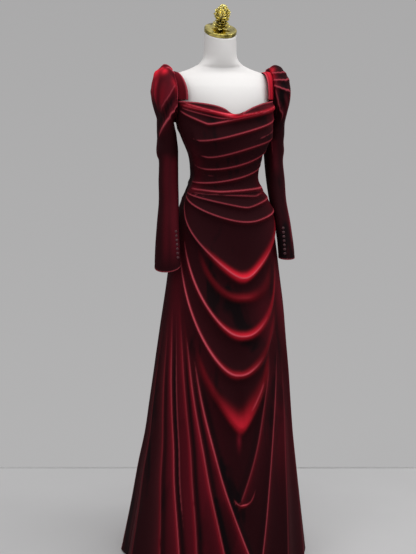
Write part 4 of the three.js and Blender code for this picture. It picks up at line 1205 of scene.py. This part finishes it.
def makeZip():
    low = zipSize["lowZ"] + zipSize["lowGap"]
    high = float(upperEdge(np.array([180.0]))[0]) - zipSize["topGap"]

    def place(u, v):
        z = low + (high - low) * v
        spread = np.degrees(zipSize["halfWidth"] / lookUp(gownSections, "z", "half", z))
        angle = 180 + spread * (2 * u - 1)
        angle = np.where(angle > 180, angle - 360, angle)
        return gownSurface(angle, z, zipSize["cloth"] + zipSize["gap"])[0], {}

    tape = gridPiece("zip_tape_woven", zipSize["across"], zipSize["rows"], place, tapeCloth)
    register(giveWall(tape, zipSize["thickness"]), "zip_tape", "zip_tape")
    for node, name, body in (("zip_slider", "zip_slider_cast", "gown_and_form"),
                             ("zip_pull", "zip_pull_tab", "pull_tab")):
        bm = bmesh.new()
        bm.from_mesh(nodes[node].data)
        bmesh.ops.remove_doubles(bm, verts=bm.verts, dist=1e-6)
        bmesh.ops.dissolve_limit(bm, angle_limit=math.radians(zipSize["flatAngle"]), verts=bm.verts,
                                 edges=bm.edges)
        piece = finishMesh(name, bm, zipLacquer, shade=False)
        bevel = piece.modifiers.new("edges", "BEVEL")
        bevel.width = zipSize["edge"] * mm
        bevel.segments = 3
        bevel.limit_method = "ANGLE"
        bevel.angle_limit = math.radians(zipSize["edgeAngle"])
        register(piece, "zip_metal", node, body=body)


makeZip()
print("stand, buttons and zip made")
# Floor, light and camera. Lengths are in metres.
studio = {"turn": 17, "distance": 3.5, "height": 1.45, "lens": 75, "film": 36, "pitch": 8.67,
          "axisColumn": 222.8, "imageWidth": 416, "imageHeight": 554, "wallLine": 4.44,
          "floorWidth": 5, "floorDepth": 2.2, "gapHeight": 0.006}


# A plane of the room in two mixed greys, from the matrix that lays a square of half-size 1
def stagePlane(name, materialName, cells, matrix, scale, detail, colors, **surface):
    material, tree, shader, place = newMaterial(materialName)
    color = mixColors(tree, addNoise(tree, place, scale, detail), *colors)
    dress(tree, shader, {"Base Color": color, **surface})
    bm = bmesh.new()
    bmesh.ops.create_grid(bm, x_segments=cells[0], y_segments=cells[1], size=1)
    bmesh.ops.transform(bm, matrix=matrix, verts=bm.verts)
    finishMesh(name, bm, material)


def makeStudio():
    focal = studio["lens"] / studio["film"] * studio["imageHeight"]
    turn = math.radians(studio["turn"])
    heading = turn - math.atan((studio["axisColumn"] - studio["imageWidth"] / 2) / focal)
    spot = Vector((-math.sin(turn), -math.cos(turn), 0)) * studio["distance"]
    data = bpy.data.cameras.new("photo")
    data.lens = studio["lens"]
    data.sensor_width = studio["film"]
    camera = bpy.data.objects.new("photo", data)
    camera.location = spot + Vector((0, 0, studio["height"]))
    camera.rotation_euler = (math.radians(90 - studio["pitch"]), 0, -heading)
    bpy.context.scene.collection.objects.link(camera)
    bpy.context.scene.camera = camera

    width, depth = studio["floorWidth"], studio["floorDepth"]
    ahead = Vector((math.sin(heading), math.cos(heading), 0))
    farEdge = spot + ahead * studio["wallLine"]
    facing = Matrix.Rotation(-heading, 4, "Z")
    laid = Matrix.Translation(farEdge - ahead * depth) @ facing @ Matrix.Diagonal((width, depth, 1, 1))
    stagePlane("floor", "paleFloor", (8, 8), laid, 3.0, 4.0,
               [(0.6, 0.595, 0.6, 1), (0.65, 0.645, 0.65, 1)], Roughness=0.6)
    upright = (Matrix.Translation(farEdge) @ facing @ Matrix.Rotation(math.radians(90), 4, "X")
               @ Matrix.Diagonal((width, studio["gapHeight"], 1, 1)))
    stagePlane("skirting_gap", "skirtingGap", (4, 1), upright, 2.0, 3.0,
               [(0.6, 0.6, 0.6, 1), (0.72, 0.72, 0.72, 1)])


# The sky is a soft grey room to the camera and a top-weighted softbox to the cloth. Each has a low
# and a high end, 0 at the bottom of the sky and 1 at its top.
sky = {"seen": ((0.36, (0.45, 0.447, 0.449)), (0.58, (0.395, 0.392, 0.394))),
       "shone": ((0.3, (0.1, 0.1, 0.1)), (0.95, (0.62, 0.62, 0.62)))}


def rampNode(tree, value, low, high):
    node = addNode(tree, "ShaderNodeValToRGB", {"Fac": value})
    for element, (position, color) in zip(node.color_ramp.elements, (low, high)):
        element.position = position
        element.color = (*color, 1)
    return node.outputs["Color"]


def makeWorld():
    world = bpy.data.worlds.new("studio")
    bpy.context.scene.world = world
    world.use_nodes = True
    tree = world.node_tree
    tree.nodes.clear()
    place = tree.nodes.new("ShaderNodeTexCoord").outputs["Generated"]
    height = addNode(tree, "ShaderNodeSeparateXYZ", {"Vector": place}).outputs["Z"]
    ends = {"Value": height, "From Min": -1, "From Max": 1}
    lift = addNode(tree, "ShaderNodeMapRange", ends).outputs["Result"]
    seen, shone = (rampNode(tree, lift, *sky[kind]) for kind in ("seen", "shone"))
    camera = tree.nodes.new("ShaderNodeLightPath").outputs["Is Camera Ray"]
    background = addNode(tree, "ShaderNodeBackground", {"Color": mixColors(tree, camera, shone, seen)})
    addNode(tree, "ShaderNodeOutputWorld", {"Surface": background.outputs["Background"]})


def softbox(name, spot, target, size, power):
    data = bpy.data.lights.new(name, "AREA")
    data.shape = "RECTANGLE"
    data.size, data.size_y = size
    data.energy = power
    light = bpy.data.objects.new(name, data)
    light.location = spot
    aim = Vector(target) - Vector(spot)
    light.rotation_euler = aim.to_track_quat("-Z", "Y").to_euler()
    bpy.context.scene.collection.objects.link(light)


makeStudio()
makeWorld()
# Name, spot, target, width and height, power
for softboxValues in (("overhead", (0.2, -0.9, 3.6), (0, 0, 0.9), (2.2, 1.4), 42),
                      ("frontLeft", (-2.6, -2.2, 2.4), (0, 0, 1.1), (1.2, 2.0), 15),
                      ("frontRight", (2.4, -1.4, 2.6), (0, 0, 1.1), (1.0, 2.0), 13)):
    softbox(*softboxValues)
bpy.context.scene.view_settings.view_transform = "Standard"
print("studio made")
